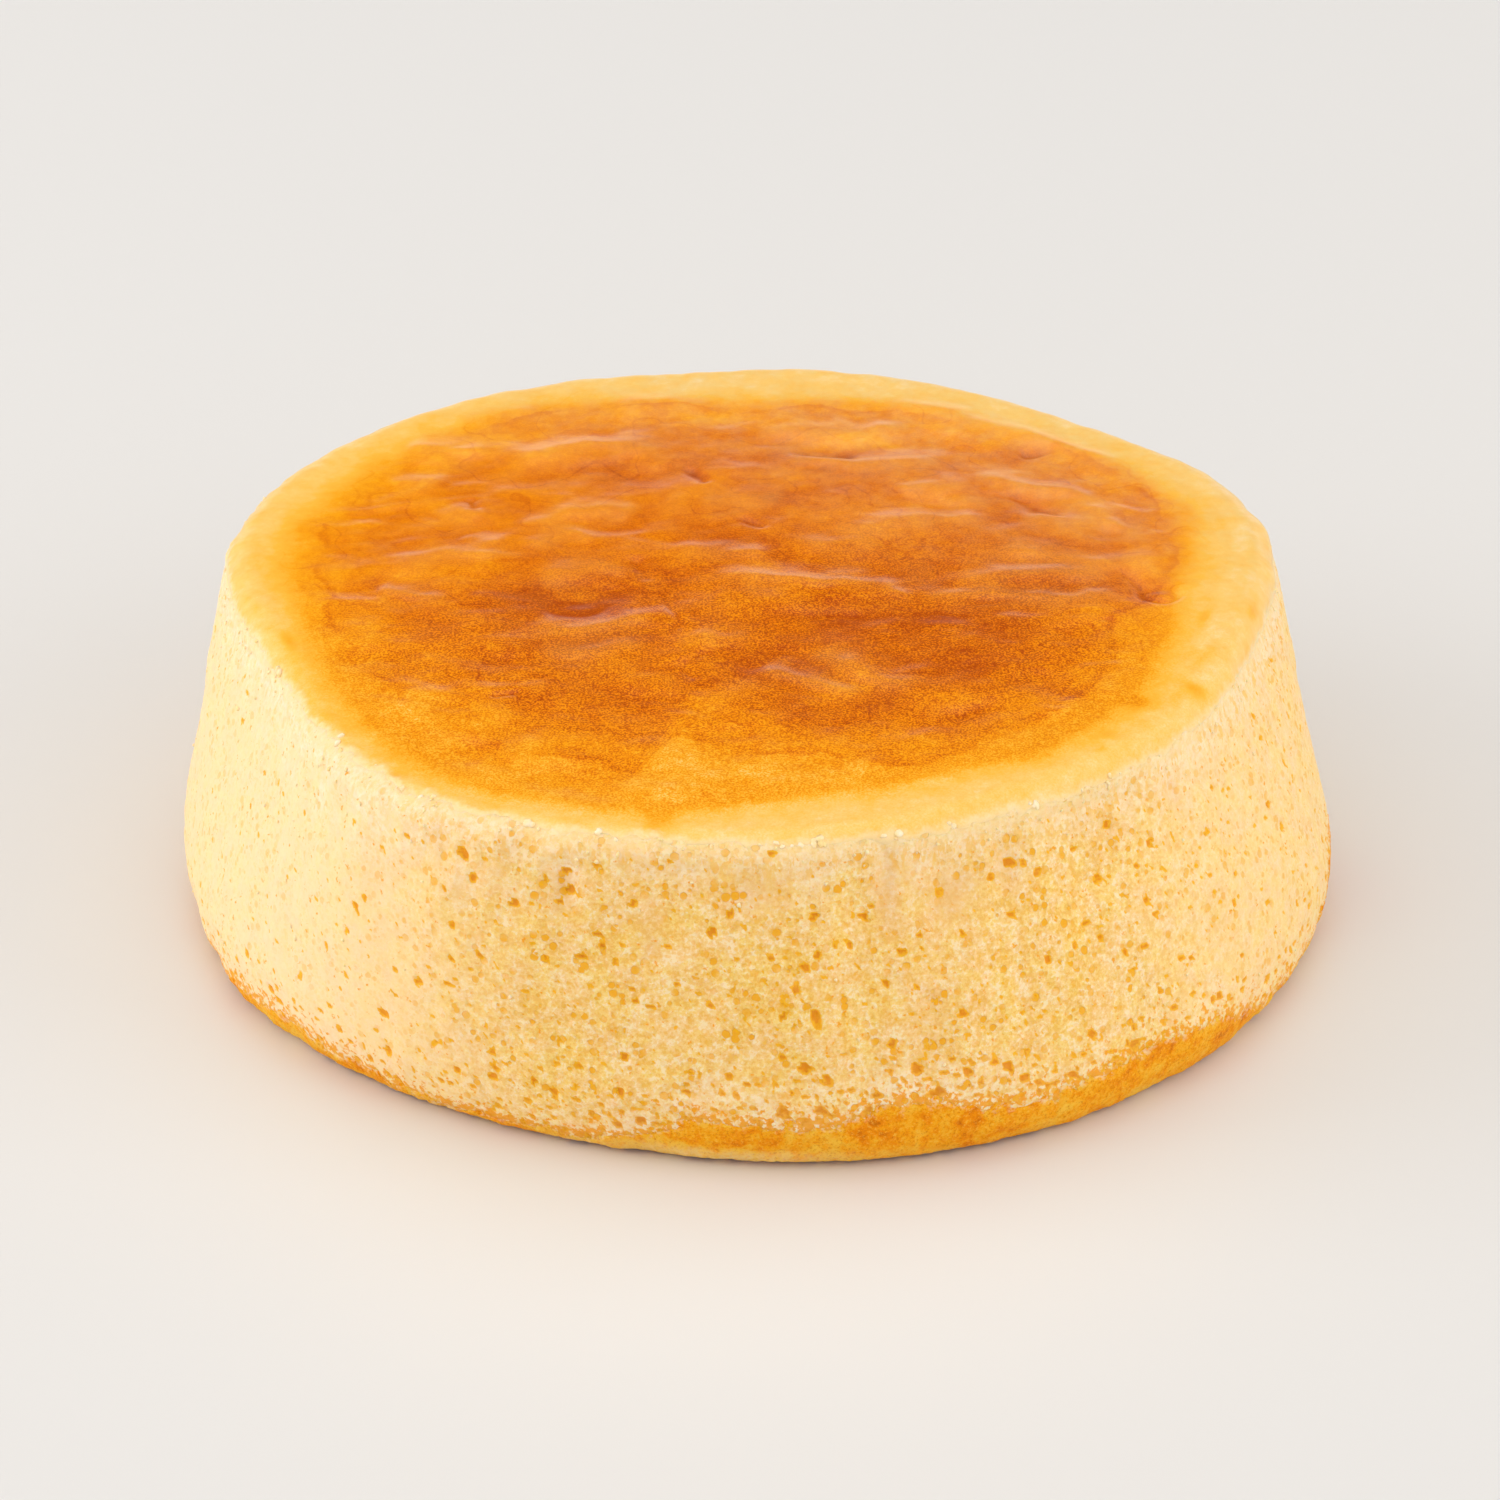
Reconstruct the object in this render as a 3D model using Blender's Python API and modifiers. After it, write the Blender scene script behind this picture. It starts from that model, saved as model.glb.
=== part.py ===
"""Jiggly cheesecake: one low, round souffle cake that flares towards its foot.

The cake is a single solid. A turned profile gives the flat base, the tucked-in foot, the
tapered side, the rolled rim and the top. Its skin is then pushed about by hand-sized
functions: a lobed outline, a lean, dents in the side and folds across the top.
The origin is the middle of the base, +Z is up and -Y is the front. All sizes are in metres.
"""
import math

import bpy

NAME = "cheesecake"

# Driving sizes.
CAKE_HEIGHT = 0.0540
WIDEST_RADIUS = 0.0900
WIDEST_LEVEL = 0.0125
BASE_RADIUS = 0.0850
RIM_RADIUS = 0.0825
RIM_ROUNDING = 0.0048
SIDE_BELLY = 0.0010
TOP_SWELL = 0.0010
RIM_LEAN = 0.0020

# Facets: steps around the cake, and segments along each stretch of the profile.
STEPS_AROUND = 102
TOP_SEGMENTS = 28
RIM_SEGMENTS = 4
SIDE_SEGMENTS = 9
FOOT_SEGMENTS = 5
MERGE_DISTANCE = 0.00001

# Uneven outline: lobes around the cake, how far each swings out, and the heading of a lobe
# in degrees, where 0 is +X and 90 is +Y.
BASE_LOBES = ((2, 0.0015, -31.0), (3, 0.0010, -38.0), (4, 0.0006, 0.0), (5, 0.0005, 0.0))
RIM_LOBES = (
    (2, 0.0008, 44.0),
    (3, 0.0028, 20.0),
    (4, 0.0009, -36.0),
    (5, 0.0014, 17.0),
    (7, 0.0008, 20.0),
)
LEAN_HEADING = 156.0

# Folds across the top skin: centre x and y, heading in degrees, half length, half width
# and height, where a height below nothing is a dip.
TOP_FOLDS = (
    (0.0190, 0.0010, -4.0, 0.0290, 0.0030, 0.0010),
    (-0.0050, 0.0180, 6.0, 0.0240, 0.0034, 0.0009),
    (0.0270, 0.0280, -14.0, 0.0230, 0.0036, 0.0008),
    (-0.0310, 0.0250, 12.0, 0.0180, 0.0036, 0.0009),
    (0.0060, 0.0450, -3.0, 0.0220, 0.0040, 0.0009),
    (-0.0290, 0.0030, 18.0, 0.0150, 0.0034, 0.0008),
    (-0.0170, -0.0190, -10.0, 0.0160, 0.0034, 0.0008),
    (0.0200, -0.0270, -8.0, 0.0140, 0.0034, 0.0008),
    (0.0130, -0.0150, 5.0, 0.0100, 0.0060, -0.0010),
    (-0.0080, -0.0070, 0.0, 0.0120, 0.0060, -0.0009),
    (0.0110, 0.0560, 0.0, 0.0120, 0.0050, -0.0010),
)

# Soft dents in the side: heading in degrees, level of the middle, half width around the
# cake, half height and depth.
SIDE_DENTS = (
    (-79.0, 0.0300, 0.0045, 0.0170, 0.0010),
    (-98.0, 0.0330, 0.0060, 0.0120, 0.0007),
    (-52.0, 0.0380, 0.0070, 0.0100, 0.0009),
    (-128.0, 0.0360, 0.0060, 0.0110, 0.0007),
    (8.0, 0.0300, 0.0070, 0.0140, 0.0008),
    (64.0, 0.0330, 0.0060, 0.0150, 0.0009),
    (118.0, 0.0280, 0.0070, 0.0130, 0.0008),
    (176.0, 0.0340, 0.0060, 0.0120, 0.0007),
)

# Look of the sponge.
SPONGE_COLOR = (0.93, 0.62, 0.26, 1.0)
SPONGE_ROUGHNESS = 0.62


def clear_scene():
    """Remove every object that the file opened with."""
    for item in list(bpy.data.objects):
        bpy.data.objects.remove(item, do_unlink=True)


def smooth_share(value):
    """Ease a share from 0 to 1 with flat ends."""
    share = min(max(value, 0.0), 1.0)
    return share * share * (3.0 - 2.0 * share)


def quarter_turn(segments):
    """Give the angles of a quarter turn, without the one that it starts from."""
    return [0.5 * math.pi * step / segments for step in range(1, segments + 1)]


def cake_profile():
    """Trace half of the cake's section, from the middle of the top down to the base."""
    flat_radius = RIM_RADIUS - RIM_ROUNDING
    rim_level = CAKE_HEIGHT - RIM_ROUNDING
    points = []
    for step in range(TOP_SEGMENTS + 1):
        points.append((flat_radius * step / TOP_SEGMENTS, CAKE_HEIGHT))
    for angle in quarter_turn(RIM_SEGMENTS):
        out = RIM_ROUNDING * math.sin(angle)
        down = RIM_ROUNDING * (1.0 - math.cos(angle))
        points.append((flat_radius + out, CAKE_HEIGHT - down))
    for step in range(1, SIDE_SEGMENTS + 1):
        share = step / SIDE_SEGMENTS
        belly = SIDE_BELLY * math.sin(math.pi * share)
        radius = RIM_RADIUS + (WIDEST_RADIUS - RIM_RADIUS) * share + belly
        points.append((radius, rim_level + (WIDEST_LEVEL - rim_level) * share))
    for angle in quarter_turn(FOOT_SEGMENTS):
        tuck = (WIDEST_RADIUS - BASE_RADIUS) * (1.0 - math.cos(angle))
        points.append((WIDEST_RADIUS - tuck, WIDEST_LEVEL * (1.0 - math.sin(angle))))
    points.append((0.0, 0.0))
    return points


def lobe_swing(lobes, heading):
    """Add up how far the lobes push the outline out at a heading."""
    swing = 0.0
    for count, reach, peak in lobes:
        swing += reach * math.cos(count * (heading - math.radians(peak)))
    return swing


def fold_height(x, y):
    """Add up the folds and dips of the top skin at a place."""
    height = 0.0
    for middle_x, middle_y, degrees, half_length, half_width, rise in TOP_FOLDS:
        turn = math.radians(degrees)
        along = (x - middle_x) * math.cos(turn) + (y - middle_y) * math.sin(turn)
        across = (y - middle_y) * math.cos(turn) - (x - middle_x) * math.sin(turn)
        bend = across - along * along / (8.0 * half_length)
        height += rise * math.exp(-(along / half_length) ** 2 - (bend / half_width) ** 2)
    return height


def dent_depth(heading, level):
    """Add up the dents of the side at a heading and a level."""
    depth = 0.0
    for degrees, middle, half_width, half_height, deep in SIDE_DENTS:
        turn = math.remainder(heading - math.radians(degrees), 2.0 * math.pi)
        around = turn * WIDEST_RADIUS / half_width
        upright = (level - middle) / half_height
        depth += deep * math.exp(-around * around - upright * upright)
    return depth


def shape_point(x, y, z):
    """Move a point of the plain turned cake to where it lies on the uneven one."""
    radius = math.hypot(x, y)
    heading = math.atan2(y, x)
    rise = smooth_share(z / CAKE_HEIGHT)
    base_swing = lobe_swing(BASE_LOBES, heading)
    rim_swing = lobe_swing(RIM_LOBES, heading)
    rim_swing += RIM_LEAN * math.cos(heading - math.radians(LEAN_HEADING))
    swing = base_swing + (rim_swing - base_swing) * rise
    edge_share = radius / RIM_RADIUS
    side_share = smooth_share((edge_share - 0.9) / 0.1) * smooth_share(z / WIDEST_LEVEL)
    out = radius + swing * min(edge_share, 1.0) - side_share * dent_depth(heading, z)
    new_x = out * math.cos(heading)
    new_y = out * math.sin(heading)
    if z > CAKE_HEIGHT - RIM_ROUNDING:
        inside = smooth_share((1.0 - edge_share) / 0.2)
        swell = TOP_SWELL * (1.0 - edge_share * edge_share)
        z += inside * fold_height(new_x, new_y) + swell
    return new_x, new_y, z


def turned_cake():
    """Turn the profile into a closed mesh with a Screw modifier and read the result."""
    points = cake_profile()
    outline = bpy.data.meshes.new(NAME + "_profile")
    edges = [(index, index + 1) for index in range(len(points) - 1)]
    outline.from_pydata([(radius, 0.0, level) for radius, level in points], edges, [])
    lathe = bpy.data.objects.new(NAME + "_lathe", outline)
    bpy.context.scene.collection.objects.link(lathe)
    screw = lathe.modifiers.new("turn", "SCREW")
    screw.steps = STEPS_AROUND
    screw.render_steps = STEPS_AROUND
    screw.use_merge_vertices = True
    screw.merge_threshold = MERGE_DISTANCE
    bpy.context.view_layer.update()
    view = lathe.evaluated_get(bpy.context.evaluated_depsgraph_get())
    mesh = bpy.data.meshes.new_from_object(view)
    bpy.data.objects.remove(lathe, do_unlink=True)
    bpy.data.meshes.remove(outline)
    return mesh


def shape_cake(mesh):
    """Make the turned mesh uneven and set the middle of its base on the origin."""
    for vertex in mesh.vertices:
        vertex.co = shape_point(*vertex.co)
    middle_x = 0.5 * (min(v.co.x for v in mesh.vertices) + max(v.co.x for v in mesh.vertices))
    middle_y = 0.5 * (min(v.co.y for v in mesh.vertices) + max(v.co.y for v in mesh.vertices))
    for vertex in mesh.vertices:
        vertex.co.x -= middle_x
        vertex.co.y -= middle_y


def sponge_material():
    """Make the plain cream-yellow sponge material."""
    material = bpy.data.materials.new("sponge")
    material.use_nodes = True
    shader = material.node_tree.nodes["Principled BSDF"]
    shader.inputs["Base Color"].default_value = SPONGE_COLOR
    shader.inputs["Roughness"].default_value = SPONGE_ROUGHNESS
    shader.inputs["Metallic"].default_value = 0.0
    return material


def build():
    """Make the cake in a collection named for it."""
    clear_scene()
    collection = bpy.data.collections.new(NAME)
    bpy.context.scene.collection.children.link(collection)
    mesh = turned_cake()
    shape_cake(mesh)
    mesh.name = NAME
    mesh.materials.clear()
    mesh.materials.append(sponge_material())
    mesh.shade_smooth()
    collection.objects.link(bpy.data.objects.new(NAME, mesh))


build()
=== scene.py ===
"""Looks of the jiggly cheesecake: porous sponge, browned wrinkled top, golden foot crust.

The cake's solid is replaced by three thick, closed layers that reach into each other, so
that every border on it is a real, ragged line: the sponge body, the top skin and the crust
round the foot. Small flecks of sponge and wet beads sit on top. Lengths are in metres.
"""
import math

import bmesh
import bpy
import numpy as np
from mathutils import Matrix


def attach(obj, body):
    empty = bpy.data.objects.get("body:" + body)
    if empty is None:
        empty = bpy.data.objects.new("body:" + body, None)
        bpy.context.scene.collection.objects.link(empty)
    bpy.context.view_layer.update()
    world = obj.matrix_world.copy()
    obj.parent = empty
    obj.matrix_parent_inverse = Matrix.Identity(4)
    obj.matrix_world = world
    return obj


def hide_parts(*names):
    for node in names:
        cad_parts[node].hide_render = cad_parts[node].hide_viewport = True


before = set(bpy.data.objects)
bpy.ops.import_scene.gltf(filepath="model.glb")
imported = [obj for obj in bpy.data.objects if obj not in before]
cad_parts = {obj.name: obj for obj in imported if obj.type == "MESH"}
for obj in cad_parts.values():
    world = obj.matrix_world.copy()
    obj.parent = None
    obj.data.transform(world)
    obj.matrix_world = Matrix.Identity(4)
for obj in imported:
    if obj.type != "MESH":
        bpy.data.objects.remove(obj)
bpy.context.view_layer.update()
NODE = "cheesecake"
MM = 0.001

# The cake's driving sizes, the same as its solid's.
CAKE_HEIGHT = 54.0 * MM
WIDEST_RADIUS = 90.0 * MM
WIDEST_LEVEL = 12.5 * MM
BASE_RADIUS = 85.0 * MM
RIM_RADIUS = 82.5 * MM
RIM_ROUNDING = 4.8 * MM
SIDE_BELLY = 1.0 * MM
TOP_SWELL = 1.0 * MM
RIM_LEAN = 2.0 * MM
LEAN_HEADING = 156.0
BASE_LOBES = ((2, 1.5, -31.0), (3, 1.0, -38.0), (4, 0.6, 0.0), (5, 0.5, 0.0))
RIM_LOBES = ((2, 0.8, 44.0), (3, 2.8, 20.0), (4, 0.9, -36.0), (5, 1.4, 17.0), (7, 0.8, 20.0))
SIDE_DENTS = (
    (-79.0, 30.0, 4.5, 17.0, 1.0),
    (-98.0, 33.0, 6.0, 12.0, 0.7),
    (-52.0, 38.0, 7.0, 10.0, 0.9),
    (-128.0, 36.0, 6.0, 11.0, 0.7),
    (8.0, 30.0, 7.0, 14.0, 0.8),
    (64.0, 33.0, 6.0, 15.0, 0.9),
    (118.0, 28.0, 7.0, 13.0, 0.8),
    (176.0, 34.0, 6.0, 12.0, 0.7),
)

# Mesh fineness.
AROUND = 1041
STRIPS = 3
RIM_POINTS = 40
SIDE_POINTS = 120
SIDE_ROWS = 92
SKIN_RINGS = 149
SKIN_HEM_RINGS = 5
CRUST_ROWS = 46
BASE_ROWS = 14

# How many there are of what is drawn at random.
LARGE_PORES = 950
SMALL_PORES = 4200
FOAM_HOLES = 560
BEADS = 120
FLECKS = 600

# Middling radius of the side in mm, which turns degrees into lengths along it.
SIDE_RADIUS_MM = 87.0


# ---------------------------------------------------------------- numbers and noise

def ease(value):
    """Ease from 0 to 1 with flat ends."""
    share = np.clip(value, 0.0, 1.0)
    return share * share * (3.0 - 2.0 * share)


def step_up(value, low, high):
    """Ease from 0 at low to 1 at high."""
    return ease((value - low) / (high - low))


def lattice(cells, seed):
    """Give every whole-number cell two steady numbers from 0 to 1."""
    big = cells.astype(np.int64).astype(np.uint64)
    mixed = big[..., 0] * np.uint64(0x9E3779B97F4A7C15)
    mixed ^= big[..., 1] * np.uint64(0xC2B2AE3D27D4EB4F)
    mixed ^= big[..., 2] * np.uint64(0x165667B19E3779F9)
    mixed += np.uint64(seed * 0x27D4EB2F)
    mixed ^= mixed >> np.uint64(29)
    mixed *= np.uint64(0xBF58476D1CE4E5B9)
    mixed ^= mixed >> np.uint64(32)
    low = (mixed & np.uint64(0xFFFF)) / 65536.0
    high = (mixed >> np.uint64(16) & np.uint64(0xFFFF)) / 65536.0
    return low, high


def noise(places, size, seed):
    """Smooth gradient noise from about -1 to 1, with bumps of a given size."""
    scaled = places / size
    cells = np.floor(scaled)
    inside = scaled - cells
    fade = inside ** 3 * (inside * (inside * 6.0 - 15.0) + 10.0)
    total = np.zeros(places.shape[:-1])
    for corner in np.ndindex(2, 2, 2):
        turn, tilt = lattice(cells + corner, seed)
        tilt = tilt * 2.0 - 1.0
        flat = np.sqrt(np.maximum(1.0 - tilt * tilt, 0.0))
        away = inside - corner
        slope = np.cos(turn * 2.0 * math.pi) * away[..., 0] * flat
        slope += np.sin(turn * 2.0 * math.pi) * away[..., 1] * flat
        slope += tilt * away[..., 2]
        weight = np.prod(np.where(corner, fade, 1.0 - fade), axis=-1)
        total += slope * weight
    return total * 1.6


def rough_noise(places, size, seed, octaves=3):
    """Add finer and finer noise, each octave half as strong."""
    total = np.zeros(places.shape[:-1])
    for octave in range(octaves):
        total += noise(places, size / 2.0 ** octave, seed + octave) / 2.0 ** octave
    return total


def crests(places, size, seed, width=0.2):
    """Soft thin crests between broad hollows, from 0 to 1, broken up along their length."""
    line = noise(places, size, seed) / width
    strength = np.clip(0.75 + 0.9 * noise(places, 0.8 * size, seed + 90), 0.0, 1.0)
    return strength / (1.0 + line ** 2)


def round_table(heading, table):
    """Read a value off a table of headings in degrees and values."""
    degrees = np.degrees(heading)
    places, values = zip(*table)
    return np.interp(degrees, places, values)


# ---------------------------------------------------------------- the cake's form

def side_profile():
    """Trace the section from the rim's inner edge down to the base's edge, densely."""
    turn = np.linspace(0.0, 0.5 * math.pi, RIM_POINTS)
    share = np.linspace(0.0, 1.0, SIDE_POINTS)[1:]
    rim_radius = RIM_RADIUS - RIM_ROUNDING + RIM_ROUNDING * np.sin(turn)
    rim_level = CAKE_HEIGHT - RIM_ROUNDING * (1.0 - np.cos(turn))
    slope = WIDEST_RADIUS - RIM_RADIUS
    side_radius = RIM_RADIUS + slope * share + SIDE_BELLY * np.sin(math.pi * share)
    low_rim = CAKE_HEIGHT - RIM_ROUNDING
    side_level = low_rim + (WIDEST_LEVEL - low_rim) * share
    foot_radius = WIDEST_RADIUS - (WIDEST_RADIUS - BASE_RADIUS) * (1.0 - np.cos(turn[1:]))
    foot_level = WIDEST_LEVEL * (1.0 - np.sin(turn[1:]))
    radius = np.concatenate([rim_radius, side_radius, foot_radius])
    level = np.concatenate([rim_level, side_level, foot_level])
    steps = np.hypot(np.diff(radius), np.diff(level))
    length = np.concatenate([[0.0], np.cumsum(steps)])
    return radius, level, length


PROFILE_RADIUS, PROFILE_LEVEL, PROFILE_LENGTH = side_profile()
SIDE_LENGTH = float(PROFILE_LENGTH[-1])
TOP_FLAT = RIM_RADIUS - RIM_ROUNDING


def along_profile(length):
    """Radius and level at a length down the section; a length below 0 runs onto the top."""
    radius = np.interp(length, PROFILE_LENGTH, PROFILE_RADIUS)
    level = np.interp(length, PROFILE_LENGTH, PROFILE_LEVEL)
    return radius + np.minimum(length, 0.0), level


def swing_of(lobes, heading):
    """Add up how far the lobes push the outline out."""
    total = np.zeros_like(heading)
    for count, reach, peak in lobes:
        total = total + reach * MM * np.cos(count * (heading - math.radians(peak)))
    return total


def dents_of(heading, level):
    """Add up the soft dents in the side."""
    total = np.zeros_like(level)
    for degrees, middle, half_width, half_height, depth in SIDE_DENTS:
        turn = np.remainder(heading - math.radians(degrees) + math.pi, 2.0 * math.pi) - math.pi
        around = turn * WIDEST_RADIUS / (half_width * MM)
        upright = (level - middle * MM) / (half_height * MM)
        total = total + depth * MM * np.exp(-around ** 2 - upright ** 2)
    return total


def uneven(radius, heading, level):
    """Place points of the plain turned cake on the uneven one."""
    rise = ease(level / CAKE_HEIGHT)
    base_swing = swing_of(BASE_LOBES, heading)
    rim_swing = swing_of(RIM_LOBES, heading)
    rim_swing = rim_swing + RIM_LEAN * np.cos(heading - math.radians(LEAN_HEADING))
    edge = radius / RIM_RADIUS
    swing = (base_swing + (rim_swing - base_swing) * rise) * np.minimum(edge, 1.0)
    on_side = step_up(edge, 0.9, 1.0) * ease(level / WIDEST_LEVEL)
    out = radius + swing - on_side * dents_of(heading, level)
    swell = np.where(level > CAKE_HEIGHT - RIM_ROUNDING, TOP_SWELL * (1.0 - edge ** 2), 0.0)
    spots = [out * np.cos(heading), out * np.sin(heading), level + swell]
    return np.stack(np.broadcast_arrays(*spots), axis=-1)


def centre_shift():
    """How far the solid was moved to put the middle of its base on the origin."""
    heading = np.linspace(-math.pi, math.pi, 721)[None, :]
    length = np.linspace(0.0, SIDE_LENGTH, 181)[:, None]
    radius, level = along_profile(length)
    spots = uneven(radius, heading, level).reshape(-1, 3)
    middle = 0.5 * (spots.min(axis=0) + spots.max(axis=0))
    return np.array([middle[0], middle[1], 0.0])


SHIFT = centre_shift()


def place(radius, heading, level):
    """Put points where they lie on the solid."""
    return uneven(radius, heading, level) - SHIFT


def headings_round():
    """One row of even headings round the cake."""
    return np.arange(AROUND)[None, :] / AROUND * 2.0 * math.pi - math.pi


def grid_normals(spots):
    """Outward normals of a grid of points that runs down its rows and round its columns."""
    down = np.gradient(spots, axis=0)
    around = np.roll(spots, -1, axis=1) - np.roll(spots, 1, axis=1)
    normals = np.cross(down, around)
    return normals / np.maximum(np.linalg.norm(normals, axis=-1, keepdims=True), 1e-12)


# ---------------------------------------------------------------- meshes

def make_mesh(name, spots, faces, fields, maps):
    """Make a smooth mesh object with point attributes and its own texture map."""
    mesh = bpy.data.meshes.new(name)
    mesh.from_pydata(spots.tolist(), [], faces)
    for field, values in fields.items():
        layer = mesh.attributes.new(field, "FLOAT", "POINT")
        layer.data.foreach_set("value", np.ascontiguousarray(values, dtype=np.float32))
    layer = mesh.uv_layers.new(name="OFBake")
    layer.uv.foreach_set("vector", np.ascontiguousarray(maps, dtype=np.float32).ravel())
    mesh.shade_smooth()
    mesh.validate()
    piece = bpy.data.objects.new(name, mesh)
    bpy.context.scene.collection.objects.link(piece)
    return piece


def band_faces(rows, columns, first=0):
    """Quads between rows of points that close round the cake, facing outward."""
    row, column = np.meshgrid(np.arange(rows - 1), np.arange(columns), indexing="ij")
    after = (column + 1) % columns
    corners = [row * columns + column, (row + 1) * columns + column]
    corners += [(row + 1) * columns + after, row * columns + after]
    return (np.stack(corners, axis=-1) + first).reshape(-1, 4)


def strip_map(rows, columns, low, high, width=0.96, edge=0.006):
    """Lay a band out as strips, one above the other, between two heights of the map."""
    row, column = np.meshgrid(np.arange(rows - 1), np.arange(columns), indexing="ij")
    per_strip = columns // STRIPS
    strip = np.minimum(column // per_strip, STRIPS - 1)
    tall = (high - low) / STRIPS
    corners = []
    for down, over in ((0, 0), (1, 0), (1, 1), (0, 1)):
        across = (column + over - strip * per_strip) / per_strip
        depth = (row + down) / (rows - 1)
        u = edge + across * (width - 2.0 * edge)
        v = low + strip * tall + edge + (1.0 - depth) * (tall - 2.0 * edge)
        corners.append(np.stack([u, v], axis=-1))
    return np.stack(corners, axis=-2).reshape(-1, 2)


def fan_map(count, middle, radius):
    """Lay a hidden closing face out as a small disc."""
    turn = np.arange(count) / count * 2.0 * math.pi
    return np.stack([middle[0] + radius * np.cos(turn), middle[1] + radius * np.sin(turn)], -1)


# ---------------------------------------------------------------- sponge body

def speckle_pores(relief, mask, ragged, spacing, pores):
    """Sink pores into a relief map and mark them in a mask.

    Each pore is a row, a column, a half length and half width in metres, a turn, a depth
    and a strength. The ragged field bends its outline.
    """
    rows, columns = relief.shape
    reach_row, reach_column = spacing
    for row, column, long, short, turn, depth, strength in pores:
        reach = max(long, short) * 1.5
        up = int(reach / reach_row) + 1
        over = int(reach / reach_column) + 1
        near_rows = np.arange(max(int(row) - up, 0), min(int(row) + up + 1, rows))
        near_columns = np.arange(int(column) - over, int(column) + over + 1)
        y = (near_rows[:, None] - row) * reach_row
        x = (near_columns[None, :] - column) * reach_column
        near = np.ix_(near_rows, near_columns % columns)
        along = (x * math.cos(turn) + y * math.sin(turn)) / long
        across = (y * math.cos(turn) - x * math.sin(turn)) / short
        away = np.sqrt(along ** 2 + across ** 2) + 0.45 * ragged[near]
        inside = ease((1.0 - away) / 0.55 + 0.35)
        relief[near] = np.minimum(relief[near], -depth * inside)
        mask[near] = np.maximum(mask[near], strength * inside)


def draw_pores(draws, count, rows, columns, share_of_row, sizes, density):
    """Draw pores at random where the density field lets them in."""
    pores = []
    while len(pores) < count:
        row = share_of_row(draws.random()) * (rows - 1)
        column = draws.random() * columns
        if draws.random() > density[int(row), int(column)]:
            continue
        long = 0.5 * sizes(draws, row / (rows - 1)) * MM
        short = long * draws.uniform(0.55, 1.0)
        turn = draws.normal(0.0, 0.5)
        strength = min(0.45 + 0.55 * long / (0.9 * MM), 1.0) * draws.uniform(0.75, 1.0)
        pores.append((row, column, long, short, turn, long * draws.uniform(0.3, 0.55), strength))
    return pores


def large_size(draws, down):
    """Across size of a large pore in mm: larger towards the foot."""
    return min(draws.lognormal(math.log(0.95 + 0.30 * down), 0.33), 2.4)


def small_size(draws, down):
    """Across size of a small pore in mm."""
    return min(draws.lognormal(math.log(0.62), 0.25), 1.1)


def soft_lumps(spots):
    """Broad lumps and upright grooves that run through the sponge, skin hem and crust."""
    upright = spots * np.array([1.0, 1.0, 0.35])
    lumps = 0.40 * MM * noise(spots, 22.0 * MM, 1) + 0.32 * MM * noise(spots, 9.0 * MM, 2)
    return lumps + 0.26 * MM * noise(upright, 5.0 * MM, 3)


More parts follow.
